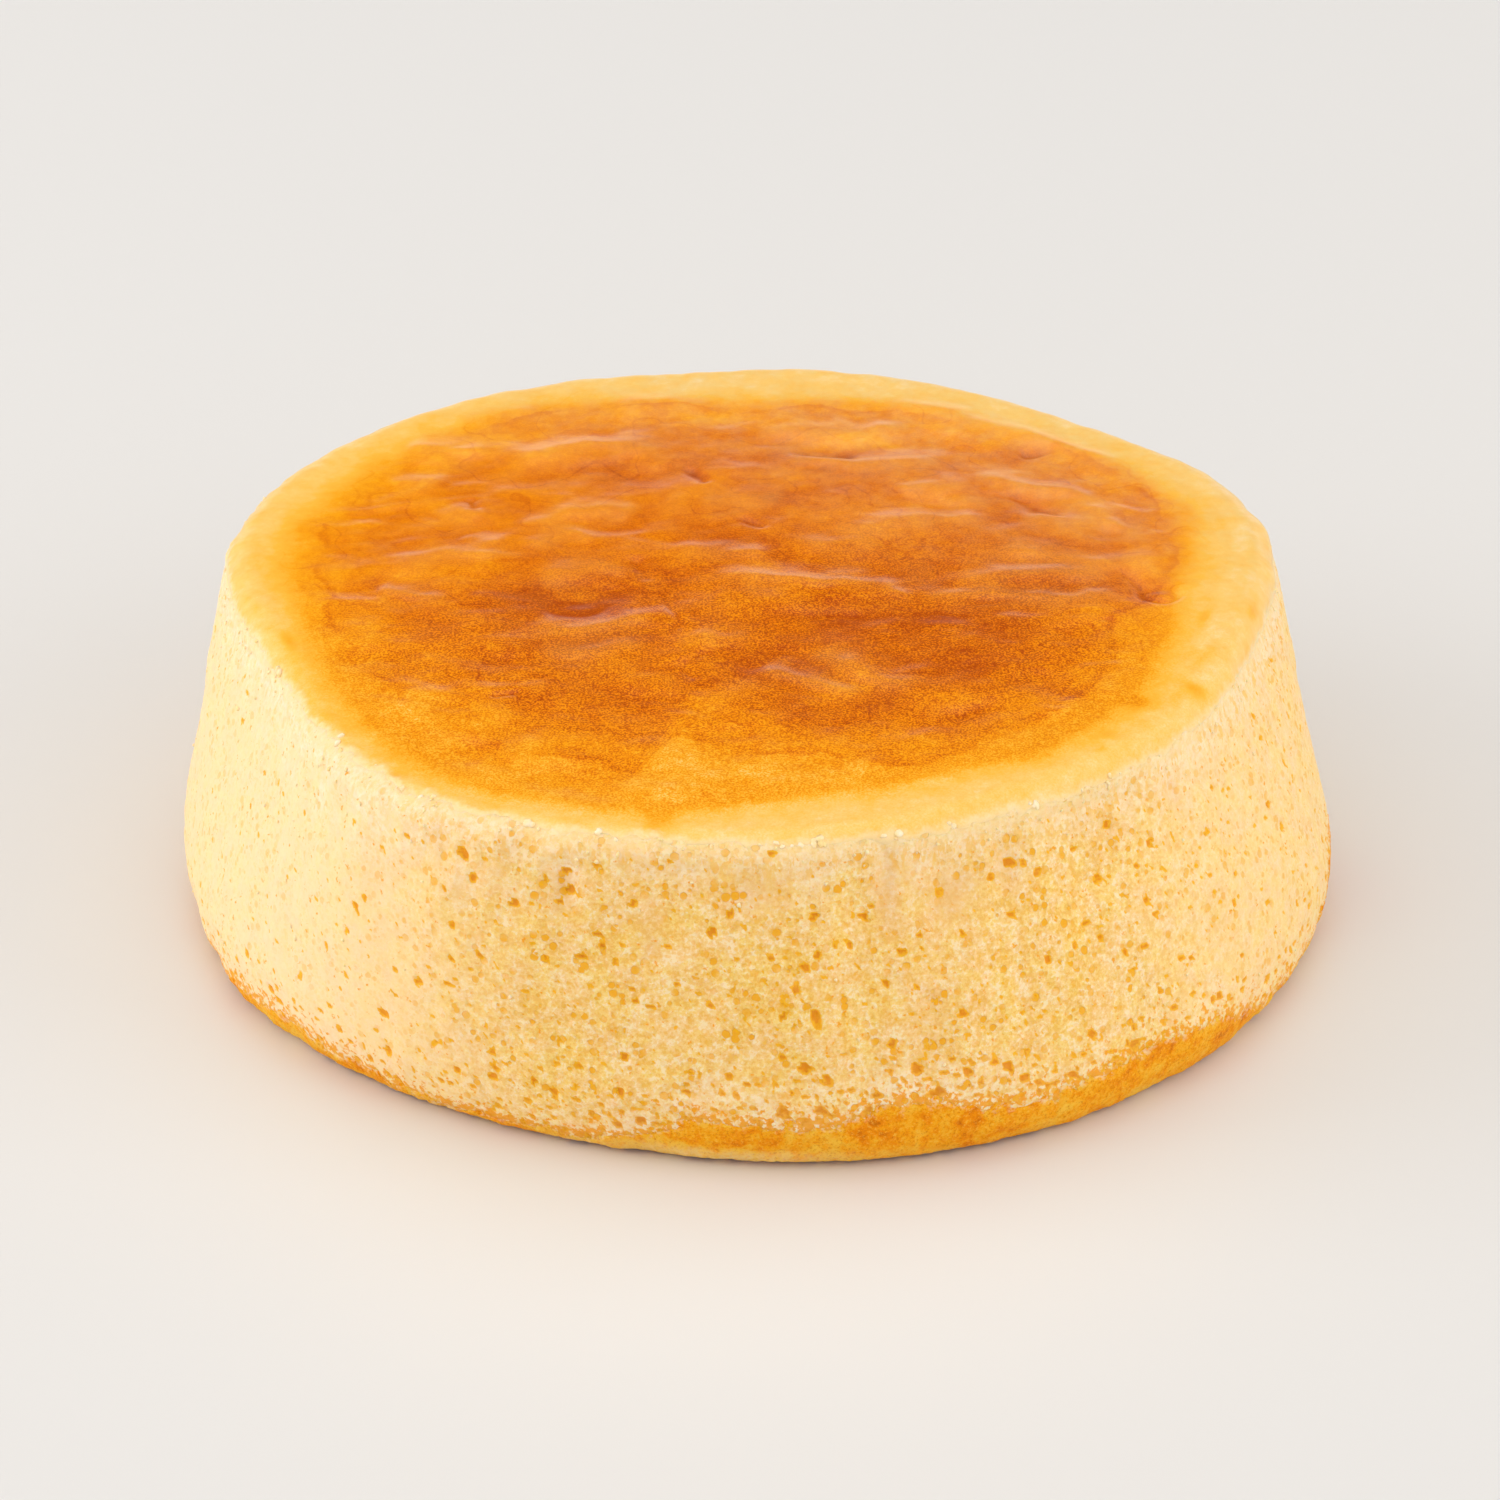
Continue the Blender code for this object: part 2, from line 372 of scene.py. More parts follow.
# Pores that catch the eye: heading in degrees, mm down from the flat top, width in mm.
LANDMARK_PORES = (
    (-157, 24.5, 1.2), (-144, 16, 1.0), (-137, 44, 1.0), (-133, 24, 1.5), (-132, 22, 1.2),
    (-125, 33, 1.7), (-122, 50, 1.4), (-122, 15, 1.2), (-121, 21, 1.2), (-121, 27, 1.3),
    (-119, 12, 1.7), (-118, 25, 1.6), (-117, 42, 1.4), (-117, 46.5, 1.9), (-116.5, 45, 1.2),
    (-114.5, 15, 1.7), (-112.5, 45.5, 1.5), (-111, 23.5, 1.3), (-110.5, 46.5, 1.7),
    (-109.5, 9, 1.6), (-109, 12, 1.8), (-110, 14, 1.3), (-107.5, 22.5, 1.8), (-106, 18.5, 1.6),
    (-105.5, 20.5, 1.6), (-103.5, 20, 1.1), (-103.5, 44.5, 1.7), (-103, 38.5, 1.5),
    (-102.5, 13, 1.5), (-102.5, 27, 1.2), (-102, 29, 1.4), (-101.5, 49.8, 1.9), (-99, 20, 1.2),
    (-98, 26, 1.1), (-97, 43.5, 1.4), (-94.5, 17.2, 2.1), (-94.5, 29, 1.3), (-92.7, 14, 1.7),
    (-91, 41.5, 1.3), (-88.5, 21, 1.2), (-87.5, 30.3, 1.6), (-87.5, 37, 1.5), (-86, 26.3, 1.4),
    (-85.4, 38.8, 2.3), (-84.2, 15, 1.7), (-84, 21, 1.7), (-84.3, 30.2, 2.0), (-83.8, 46, 1.9),
    (-82, 19.6, 1.3), (-79, 16, 1.9), (-78.3, 44, 1.5), (-76.8, 36.2, 2.0), (-77, 26.8, 1.5),
    (-75.2, 22, 1.6), (-74.4, 40.4, 2.2), (-74, 28, 1.1), (-73.2, 19.6, 1.4), (-73.2, 22, 1.1),
    (-72.4, 44.7, 2.4), (-69.5, 32.7, 1.7), (-69.3, 42, 1.9), (-68.6, 20.8, 1.4),
    (-66.5, 41.5, 1.4), (-65, 42.6, 2.0), (-64.5, 13.7, 1.7), (-63.5, 45, 2.0),
    (-63, 41, 1.3), (-62, 12.5, 2.2), (-62.8, 20, 1.8), (-61, 47.4, 1.5), (-59.5, 28, 1.5),
    (-59, 15, 1.7), (-58, 47, 1.7), (-56, 27.4, 1.4), (-55.5, 41.5, 1.9), (-54, 25, 2.0),
    (-53.5, 14, 1.4), (-52.5, 28, 1.5), (-50.5, 46, 1.8), (-50, 31.4, 1.2), (-48.5, 12.5, 2.0),
    (-47.5, 31.5, 1.5), (-46, 25.3, 1.4), (-46, 20, 1.5), (-45.2, 27.8, 1.6), (-43, 36, 1.4),
    (-41.5, 37, 1.0), (-38.5, 45, 1.5), (-34.5, 21, 1.1), (-34, 41.5, 1.4), (-34, 45.5, 1.2),
    (-31.5, 29.5, 1.5), (-31, 16, 1.1), (-20.5, 26, 1.5), (-99, 6, 1.1), (-88.5, 5, 1.4),
)


def landmark_pores(draws, rows, columns):
    """Place the pores that catch the eye."""
    pores = []
    for degrees, down, width in LANDMARK_PORES:
        row = (down + 1.0) * MM / SIDE_LENGTH * (rows - 1)
        column = (degrees + 180.0) / 360.0 * columns
        long = 0.5 * width * MM
        shape = (long, long * draws.uniform(0.65, 0.95), draws.normal(0.0, 0.5))
        pores.append((row, column, *shape, 0.5 * long, 1.0))
    return pores


# Grooves and hollows of the side: heading, mm down from the flat top, half sizes along the
# heading and downwards in mm, depth in mm.
SIDE_HOLLOWS = (
    (-76.5, 10.0, 1.8, 7.0, 0.55), (-90.0, 11.0, 5.0, 3.0, 0.35), (-69.5, 15.0, 5.0, 4.5, 0.45),
    (-109.5, 11.5, 1.8, 5.0, 0.40), (-100.0, 20.0, 3.0, 3.5, 0.30), (-62.5, 12.5, 2.2, 4.0, 0.40),
    (-48.5, 12.0, 2.0, 4.5, 0.40), (-123.0, 9.0, 2.0, 5.0, 0.35), (-84.0, 34.0, 6.0, 4.0, -0.30),
    (-97.0, 24.0, 5.0, 5.0, -0.35), (-131.0, 12.0, 3.0, 6.0, 0.35), (-38.0, 12.0, 2.0, 5.0, 0.35),
    (-117.0, 6.0, 2.0, 3.0, -0.30), (-72.5, 33.0, 3.0, 9.0, 0.25), (-57.0, 33.0, 4.0, 6.0, -0.25),
)


def side_hollows(heading, length):
    """Depth of the landmark grooves and hollows, in metres."""
    degrees = np.degrees(heading)
    total = np.zeros(degrees.shape)
    for place_at, down, half_along, half_down, depth in SIDE_HOLLOWS:
        along = (degrees - place_at) * math.radians(1.0) * SIDE_RADIUS_MM / half_along
        below = (length / MM - down) / half_down
        total = total + depth * np.exp(-along ** 2 - below ** 2)
    return total * MM


def lace_share(heading):
    """How lacy the sponge is over the crust, round the foot."""
    degrees = np.degrees(heading)
    front = np.exp(-((degrees + 84.0) / 24.0) ** 4)
    return 0.3 + 0.7 * np.maximum(front, np.exp(-((degrees - 72.0) / 24.0) ** 4))


def foam_holes(draws, count, heading, level, top, rows, columns):
    """Draw the rounder foam holes in the sponge just over the crust."""
    pores = []
    while len(pores) < count:
        row = draws.random() * (rows - 1)
        column = draws.random() * columns
        over = level[int(row), int(column)] - top[int(row), int(column)]
        if not -0.5 * MM < over < 8.0 * MM or draws.random() < over / (9.0 * MM):
            continue
        if draws.random() > 1.2 * lace_share(heading[0, int(column)]) - 0.2:
            continue
        if any(abs(row - a[0]) < 2.6 and abs(column - a[1]) < 3.2 for a in pores):
            continue
        long = 0.5 * min(draws.lognormal(math.log(1.1), 0.28), 2.1) * MM
        shape = (long, long * draws.uniform(0.8, 1.0), draws.normal(0.0, 0.5))
        pores.append((row, column, *shape, 0.45 * long, draws.uniform(0.7, 1.0)))
    return pores


def sink_pores(spots, heading, level, density, front):
    """Depth of every pore and foam hole, and a mask that marks them."""
    draws = np.random.default_rng(11)
    rows, columns = level.shape
    spacing = (SIDE_LENGTH / (rows - 1), 2.0 * math.pi * SIDE_RADIUS_MM * MM / columns)
    ragged = noise(spots, 0.9 * MM, 12)
    relief = np.zeros_like(level)
    mask = np.zeros_like(level)
    large = draw_pores(draws, LARGE_PORES, rows, columns, lambda x: x ** 0.75, large_size,
                       density * (1.0 - 0.65 * front))
    small = draw_pores(draws, SMALL_PORES, rows, columns, lambda x: x, small_size, density)
    large += landmark_pores(draws, rows, columns)
    speckle_pores(relief, mask, ragged, spacing, small + large)
    holes = foam_holes(draws, FOAM_HOLES, heading, level, crust_top(heading), rows, columns)
    speckle_pores(relief, mask, 0.4 * ragged, spacing, holes)
    return relief, mask


def body_relief(spots, heading, length, level):
    """Height of the sponge's surface over the smooth form, and its looks."""
    upright = spots * np.array([1.0, 1.0, 0.35])
    grain = 0.10 * MM * rough_noise(spots, 2.2 * MM, 4, 2)
    fluffy = step_up(level, CAKE_HEIGHT - 15.0 * MM, CAKE_HEIGHT - 5.0 * MM)
    below = length - skin_end(spots, heading)
    clear = step_up(below, 0.5 * MM, 3.5 * MM)
    grain += 0.34 * MM * fluffy * clear * rough_noise(upright, 3.4 * MM, 8, 3)
    patchy = noise(spots, 14.0 * MM, 6)
    density = np.clip(0.5 + 0.7 * patchy, 0.1, 1.0) * (1.0 - 0.35 * fluffy)
    density = density * step_up(below, 1.5 * MM, 5.0 * MM)
    # The left and right sides, where the lamps fall: they get fewer pores and a painted paler
    # colour.
    left = step_up(np.cos(heading + math.radians(165.0)), 0.55, 0.95)
    right = step_up(np.cos(heading + math.radians(12.0)), 0.72, 0.97)
    density = density * (1.0 - 0.75 * left) * (1.0 - 0.5 * right)
    front = step_up(-np.sin(heading), 0.35, 0.75)
    relief, mask = sink_pores(spots, heading, level, density, front)
    edge = level - crust_top(heading)
    web = np.exp(-(edge / (5.5 * MM)) ** 2) * np.clip(0.9 + noise(spots, 4.0 * MM, 17), 0, 1)
    near_skin = np.exp(-np.clip(below / (4.0 * MM), 0.0, 4.0) ** 2)
    fluff = 0.8 * fluffy * np.clip(0.35 + 0.9 * noise(spots, 5.0 * MM, 14), 0.0, 1.0)
    fluff = np.maximum(fluff, near_skin)
    hollows = side_hollows(heading, length)
    fields = {
        "pore": mask,
        # Painted shade: the side's grooves and hollows are marked for a darker tan colour.
        "hollow_shade": np.clip(2.8 * hollows / MM, 0.0, 1.0),
        # Painted light: the left side is also whitened through the fluff.
        "fluff": np.clip(fluff + 0.25 * left, 0.0, 1.0),
        "web": web * lace_share(heading),
        "soak": np.exp(-np.clip(edge, 0.0, 1.0) / (2.2 * MM)),
        "golden": np.exp(-(below / (1.6 * MM)) ** 2),
        "torn": np.exp(-((below - 2.5 * MM) / (2.5 * MM)) ** 2) * (1.0 - 0.6 * left),
        # Painted light: the left and right sides are marked to be painted paler and calmer.
        "pale": left + 0.6 * right,
    }
    lumps = soft_lumps(spots) * step_up(length, 0.0, 4.0 * MM)
    return lumps + grain + relief - 1.3 * hollows, fields


def sponge_body():
    """The porous side of the cake, closed above under the skin and below under the crust."""
    heading = headings_round()
    length = np.linspace(-1.0 * MM, SIDE_LENGTH - 1.0 * MM, SIDE_ROWS)[:, None]
    radius, level = along_profile(length)
    heading, level = np.broadcast_arrays(heading, level)
    smooth = place(radius, heading, level)
    height, fields = body_relief(smooth, heading, length, level)
    hidden = step_up(skin_end(smooth, heading) - length, 0.2 * MM, 1.8 * MM)
    hidden += 2.0 * step_up(-length, -0.1 * MM, 0.6 * MM)
    hidden += step_up(crust_cover(smooth, heading, level), 1.2 * MM, 2.8 * MM)
    hidden += 2.5 * step_up(-level, -1.8 * MM, -0.6 * MM)
    spots = smooth + grid_normals(smooth) * (height - 1.0 * MM * hidden)[..., None]
    spots[..., 2] = np.maximum(spots[..., 2], 0.25 * MM)
    faces = band_faces(SIDE_ROWS, AROUND).tolist()
    count = SIDE_ROWS * AROUND
    faces.append(list(range(AROUND)))
    faces.append(list(range(count - 1, count - AROUND - 1, -1)))
    maps = [strip_map(SIDE_ROWS, AROUND, 0.0, 1.0)]
    maps.append(fan_map(AROUND, (0.98, 0.25), 0.014))
    maps.append(fan_map(AROUND, (0.98, 0.75), 0.014))
    flat_fields = {name: values.ravel() for name, values in fields.items()}
    return make_mesh("sponge_body", spots.reshape(-1, 3), faces, flat_fields,
                     np.concatenate(maps))


# ---------------------------------------------------------------- top skin

# Long crests of the wrinkled skin: points in mm, how wide and how high.
RIDGES = (
    (((-9, 1), (-3, 0), (3, 0), (10, -1), (18, -2), (23, -5), (27, -6)), 1.7, 0.46),
    (((25, -6), (31, -5), (38, -5), (46, -6), (50, -6), (53, -4), (57, -1)), 1.7, 0.46),
    (((31, -3), (35, 1), (41, 3), (47, 3), (51, 2), (53, -1)), 2.4, 0.46),
    (((-58, 48), (-53, 47), (-48, 47), (-43, 44)), 3.0, 0.61),
    (((-49, 59), (-42, 61), (-34, 60)), 3.0, 0.42),
    (((-40, 41), (-33, 46), (-27, 48), (-20, 48), (-12, 45)), 3.0, 0.65),
    (((-60, 33), (-55, 35), (-49, 34)), 2.7, 0.38),
    (((-51, 22), (-47, 24), (-43, 21)), 2.4, 0.42),
    (((-39, 20), (-32, 21), (-28, 24), (-22, 24), (-18, 22)), 2.5, 0.53),
    (((-37, 9), (-33, 14), (-29, 16), (-24, 12)), 2.2, 0.49),
    (((-60, 5), (-54, 7), (-50, 10), (-44, 8), (-40, 6)), 2.7, 0.46),
    (((-60, -2), (-55, -4), (-48, -7)), 2.5, 0.42),
    (((-46, 16), (-41, 11)), 2.0, 0.34),
    (((-33, -4), (-30, 2), (-25, 4), (-20, 1)), 2.4, 0.42),
    (((-36, -13), (-30, -17), (-24, -16), (-19, -14), (-13, -12)), 2.2, 0.49),
    (((-36, -22), (-29, -25), (-24, -24), (-20, -22), (-16, -26)), 2.1, 0.42),
    (((-12, -19), (-6, -21), (0, -19)), 2.2, 0.3),
    (((-10, 25), (-3, 28), (4, 26)), 2.7, 0.38),
    (((-1, 51), (8, 53), (18, 53), (25, 57)), 3.0, 0.65),
    (((22, 57), (32, 57), (41, 54), (48, 50), (55, 44), (61, 38)), 3.2, 0.65),
    (((2, 44), (8, 42), (15, 41), (25, 42), (34, 43)), 2.8, 0.65),
    (((34, 41), (39, 36), (44, 33), (49, 30), (53, 25), (58, 18), (62, 12)), 2.5, 0.61),
    (((23, 31), (28, 33), (32, 29)), 2.4, 0.46),
    (((12, 18), (19, 17), (25, 21), (31, 21), (38, 19)), 2.7, 0.53),
    (((41, 22), (47, 18), (55, 16)), 2.5, 0.42),
    (((37, 12), (44, 9), (52, 6), (59, 7), (66, 8)), 2.4, 0.49),
    (((-14, 9), (-6, 8), (2, 9)), 2.7, 0.38),
    (((6, 9), (13, 12), (20, 11)), 2.7, 0.34),
    (((0, -28), (4, -31), (8, -33), (13, -36), (18, -35)), 2.0, 0.49),
    (((8, -27), (12, -26), (16, -31), (21, -34), (28, -31)), 2.1, 0.46),
    (((20, 63), (29, 62), (37, 60)), 2.7, 0.42),
    (((-24, 63), (-14, 64), (-6, 61)), 2.7, 0.38),
)

# How much wider and higher the crests stand than the list says.
RIDGE_WIDER = 1.3
RIDGE_HIGHER = 1.1

# Narrow creases, cracks and pits: points in mm, how wide and how deep.
CREASES = (
    (((56, 6), (60, 0), (61, -4), (64, -6), (66, -4), (66, -1)), 0.8, 0.8),
    (((52, -14), (55, -13), (55, -18), (55, -23), (56, -28)), 0.6, 0.35),
    (((-14, -2), (-14, -8), (-12, -14), (-12, -18)), 0.7, 0.35),
    (((-7, -24), (-11, -29), (-9, -34)), 0.7, 0.25),
    (((-20, 8), (-18, 3), (-17, -1)), 0.8, 0.35),
    (((-12, 40), (-9, 36), (-8, 33)), 1.1, 0.7),
    (((-46, 29), (-45, 24)), 0.9, 0.5),
    (((5, 46), (12, 44), (17, 45)), 1.4, 0.6),
    (((42, 45), (46, 46), (48, 48)), 1.3, 0.9),
    (((-33, -4), (-32, -10), (-27, -12), (-22, -7)), 1.4, 0.35),
    (((-3, 22), (2, 18)), 0.9, 0.5),
    (((40, 31), (45, 26), (50, 22)), 1.4, 0.5),
    (((-41, -39), (-36, -37)), 0.8, 0.5),
)

# Soft hollows and swellings of the skin: middle, half length, half width and height in mm.
SWELLS = (
    (-28.0, -6.0, 6.0, 5.0, -0.42),
    (5.0, -23.0, 8.0, 5.5, -0.6),
    (22.0, -27.0, 4.0, 3.5, -0.35),
    (15.0, -13.0, 6.0, 4.5, -0.45),
    (42.0, -16.0, 10.0, 7.0, 0.35),
    (0.0, -10.0, 9.0, 5.0, 0.3),
    (16.0, 48.0, 14.0, 4.5, -0.75),
    (26.0, 26.0, 9.0, 4.0, -0.55),
    (48.0, 26.0, 6.0, 4.0, -0.55),
    (-37.0, 51.0, 6.0, 3.5, -0.5),
    (-4.0, 59.0, 6.0, 3.5, -0.55),
    (-4.0, 15.0, 7.0, 4.5, -0.55),
    (-43.0, 18.0, 5.0, 3.0, -0.4),
    (-27.0, 18.0, 8.0, 3.0, -0.4),
    (-54.0, 1.0, 9.0, 3.5, -0.35),
    (-20.0, 36.0, 9.0, 4.5, -0.4),
    (62.0, -2.0, 3.0, 2.5, -0.5),
    (42.0, 0.0, 8.0, 3.0, 0.35),
    (30.0, 4.0, 8.0, 4.0, -0.25),
    (-50.0, 40.0, 9.0, 4.0, -0.35),
    (8.0, 31.0, 9.0, 3.0, 0.3),
    (-40.0, -36.0, 12.0, 8.0, 0.25),
    (4.0, -52.0, 16.0, 6.0, 0.25),
)

# Darker and paler clouds on the browned skin: middle, half length, half width in mm, tone.
CLOUDS = (
    (20.0, -16.0, 44.0, 26.0, 0.05),
    (46.0, 26.0, 16.0, 16.0, 0.04),
    (48.0, 0.0, 13.0, 9.0, 0.10),
    (-30.0, -9.0, 9.0, 6.0, 0.17),
    (5.0, -24.0, 7.0, 5.0, 0.12),
    (15.0, -13.0, 4.0, 3.5, 0.14),
    (22.0, -27.0, 3.5, 3.0, 0.12),
    (38.0, -13.0, 12.0, 6.0, 0.13),
    (36.0, -26.0, 9.0, 6.0, 0.14),
    (-28.0, -22.0, 9.0, 4.0, 0.12),
    (9.0, -45.0, 6.0, 5.0, 0.10),
    (-5.0, 15.0, 7.0, 4.5, 0.12),
    (1.0, 28.0, 6.0, 2.5, 0.07),
    (26.0, 38.0, 7.0, 3.0, 0.07),
    (-10.0, 36.0, 2.5, 3.5, 0.16),
    (-46.0, 26.0, 2.5, 3.0, 0.12),
    (45.0, 46.0, 3.5, 2.0, 0.16),
    (12.0, 44.5, 10.0, 1.5, 0.12),
    (63.0, -4.0, 3.5, 3.0, 0.10),
    (60.0, 24.0, 5.0, 9.0, 0.05),
    (-27.0, -5.0, 3.0, 1.6, -0.22),
    (16.0, 49.0, 11.0, 2.6, -0.20),
    (27.0, 27.0, 7.0, 2.4, -0.14),
    (49.0, 27.0, 6.0, 2.6, -0.14),
    (-4.0, 59.0, 5.0, 2.6, -0.14),
    (-38.0, 50.0, 6.0, 3.0, -0.12),
    (-52.0, 2.0, 8.0, 3.0, -0.10),
    (-38.0, 30.0, 7.0, 3.0, -0.10),
    (62.0, 3.0, 4.0, 3.0, -0.10),
    (38.0, 52.0, 9.0, 2.0, -0.08),
    (-20.0, 26.0, 6.0, 2.5, -0.08),
    (10.0, 22.0, 6.0, 2.0, -0.08),
    (-50.0, 22.0, 22.0, 20.0, -0.07),
)


def smooth_path(points, per_stretch=10):
    """Run a smooth curve through given points."""
    spots = np.array(points, dtype=float)
    padded = np.vstack([2.0 * spots[0] - spots[1], spots, 2.0 * spots[-1] - spots[-2]])
    share = np.arange(per_stretch)[:, None] / per_stretch
    curve = []
    for before, here, there, after in zip(padded, padded[1:], padded[2:], padded[3:]):
        bend = 2.0 * before - 5.0 * here + 4.0 * there - after
        twist = 3.0 * here - before - 3.0 * there + after
        curve.append(here + 0.5 * share * (there - before + share * (bend + share * twist)))
    return np.vstack(curve + [spots[-1:]])


def line_relief(flat, lines):
    """Add up thin crests along smooth lines; flat holds x and y in mm."""
    total = np.zeros(len(flat))
    for points, width, height in lines:
        path = smooth_path(points)
        reach = 5.0 * width
        near = np.all((flat > path.min(0) - reach) & (flat < path.max(0) + reach), axis=1)
        spots = flat[near]
        best = np.full(len(spots), np.inf)
        ends = np.zeros(len(spots))
        stretches = len(path) - 1
        for index in range(stretches):
            start = path[index]
            step = path[index + 1] - start
            share = np.clip((spots - start) @ step / (step @ step), 0.0, 1.0)
            away = np.linalg.norm(spots - start - share[:, None] * step, axis=1)
            along = (index + share) / stretches
            closer = away < best
            best = np.where(closer, away, best)
            ends = np.where(closer, ease(np.minimum(along, 1.0 - along) / 0.22), ends)
        total[near] += height * ends / (1.0 + (best / width) ** 2) ** 1.5
    return total


def patches(flat, spots):
    """Add up soft oval patches; flat holds x and y in mm."""
    total = np.zeros(len(flat))
    for x, y, half_length, half_width, height in spots:
        along = (flat[:, 0] - x) / half_length
        across = (flat[:, 1] - y) / half_width
        total += height * np.exp(-along ** 2 - across ** 2)
    return total


# Where the amber of the skin stops short of the rim: heading, distance in mm.
AMBER_EDGE = (
    (-180, 5.5), (-170, 5.0), (-162, 3.5), (-154, 2.5), (-146, 3.6), (-139, 4.4), (-130, 4.2),
    (-120, 4.0), (-109, 4.0), (-104, 4.0), (-101, 2.0), (-98, 5.0), (-91, 7.5), (-80, 8.5),
    (-74, 7.5), (-69, 8.5), (-61, 8.0), (-55, 5.0), (-45, 5.5), (-39, 6.0), (-36, 6.0),
    (-34, 3.5), (-32, 6.5), (-28, 7.0), (-20, 7.5), (-10, 8.5),
    (-3, 9.5), (5, 10.0), (12, 9.0), (22, 8.0), (32, 7.0), (45, 7.0), (55, 8.5), (65, 8.5),
    (80, 10.0), (92, 11.0), (105, 9.0), (120, 5.0), (130, 6.5),
    (142, 7.5), (152, 8.5), (163, 7.0), (172, 6.0), (180, 5.5),
)

# Where the brown of the skin stops short of the rim: heading, distance in mm.
BROWN_EDGE = (
    (-180, 9.0), (-170, 8.5), (-160, 6.5), (-154, 8.5), (-146, 11.5), (-137, 12.0),
    (-130, 14.0), (-124, 12.0), (-118, 17.0), (-112, 17.5), (-107, 13.5), (-104, 26.0),
    (-98, 25.0), (-92, 21.5), (-80, 20.0), (-74, 15.0), (-67, 12.0), (-60, 12.0), (-52, 14.0),
    (-46, 12.0), (-40, 14.0), (-34, 12.5), (-26, 13.5), (-19, 16.5), (-12, 18.0), (-7, 14.5),
    (-3, 11.0), (3, 12.0), (12, 11.0), (20, 10.5), (30, 9.0), (45, 8.0), (55, 9.5),
    (66, 12.0), (80, 12.0), (92, 13.5), (105, 11.0), (120, 8.0), (130, 10.0), (142, 10.0),
    (152, 11.5), (163, 9.5), (172, 9.0), (180, 9.0),
)

# Amber spots on the pale rim: heading, mm past the flat top, half widths in degrees and mm, tone.
RIM_SPOTS = (
    (-35, -4.0, 2.0, 1.5, 0.12), (-27, 2.0, 1.2, 2.0, 0.18), (-9, -3.5, 2.2, 0.9, 0.12),
    (-5, 3.5, 2.2, 1.0, 0.14), (-43, 5.5, 0.7, 1.3, 0.14), (-43, -2.0, 1.0, 2.2, 0.07),
    (-52, -3.5, 0.7, 0.7, 0.08), (-46, 0.5, 0.7, 0.7, 0.08), (-165, 0.5, 2.2, 1.0, 0.14),
    (-131, 1.0, 0.9, 1.2, 0.12), (-142, -5.0, 1.6, 1.6, 0.10), (-101, 0.0, 1.2, 2.4, 0.10),
    (20, -7.0, 3.0, 1.0, 0.10), (27, -10.0, 2.2, 1.4, 0.10), (-20, 0.0, 4.0, 0.9, 0.06),
    (12, -3.0, 5.0, 0.8, 0.06), (-30, 0.5, 3.0, 1.5, 0.05),
)


def skin_zone(spots, flat, length, edge, wander):
    """How far inside a zone of the skin points lie, in mm; length runs down from the flat top."""
    heading = np.arctan2(flat[:, 1], flat[:, 0])
    ragged = wander * rough_noise(spots, 8.0 * MM, 31, 4) + 0.4 * noise(spots, 1.6 * MM, 35)
    return -round_table(heading, edge) - length / MM + ragged


def skin_tone(spots, flat, length, inside, browned, detail):
    """How brown the skin is, from 0 at the pale rim to about 1 in the dark middle, with painted
    shade in its hollows and painted highlight on its raised parts.
    """
    heading = np.arctan2(flat[:, 1], flat[:, 0])
    right = step_up(np.cos(heading + math.radians(15.0)), 0.5, 0.95)
    left = step_up(-np.cos(heading), 0.4, 0.95)
    front = step_up(-np.sin(heading), -0.2, 0.5)
    tone = 0.055 + 0.015 * left
    tone += (0.06 + 0.02 * left + 0.05 * right) * step_up(inside, -8.0, 0.0)
    soft = 2.2 + 0.8 * (1.0 - front) + 1.6 * left
    tone += 0.21 * step_up(inside, -soft, soft)
    tone += 0.14 * step_up(browned, -soft, soft) + 0.20 * step_up(browned, 2.0, 20.0)
    tone += patches(flat, CLOUDS) * step_up(inside, -2.0, 8.0)
    tone += patches(np.stack([np.degrees(heading), length / MM], axis=-1), RIM_SPOTS)
    zone = step_up(inside, 0.0, 6.0)
    streaks = noise(flat[:, :1] * (0.6, 0.0, 0.0) + flat[:, 1:] * (0.0, 1.0, 0.0), 5.5, 39)
    tone += zone * (0.09 * rough_noise(spots, 9.0 * MM, 37, 3) + 0.06 * streaks)
    tone += (1.0 - zone) * 0.035 * rough_noise(spots, 4.0 * MM, 38, 3)
    # Painted shade and highlight: darker tone in the skin's hollows, paler on its raised parts.
    return tone - 0.20 * np.clip(detail, -1.2, 0.8) * zone


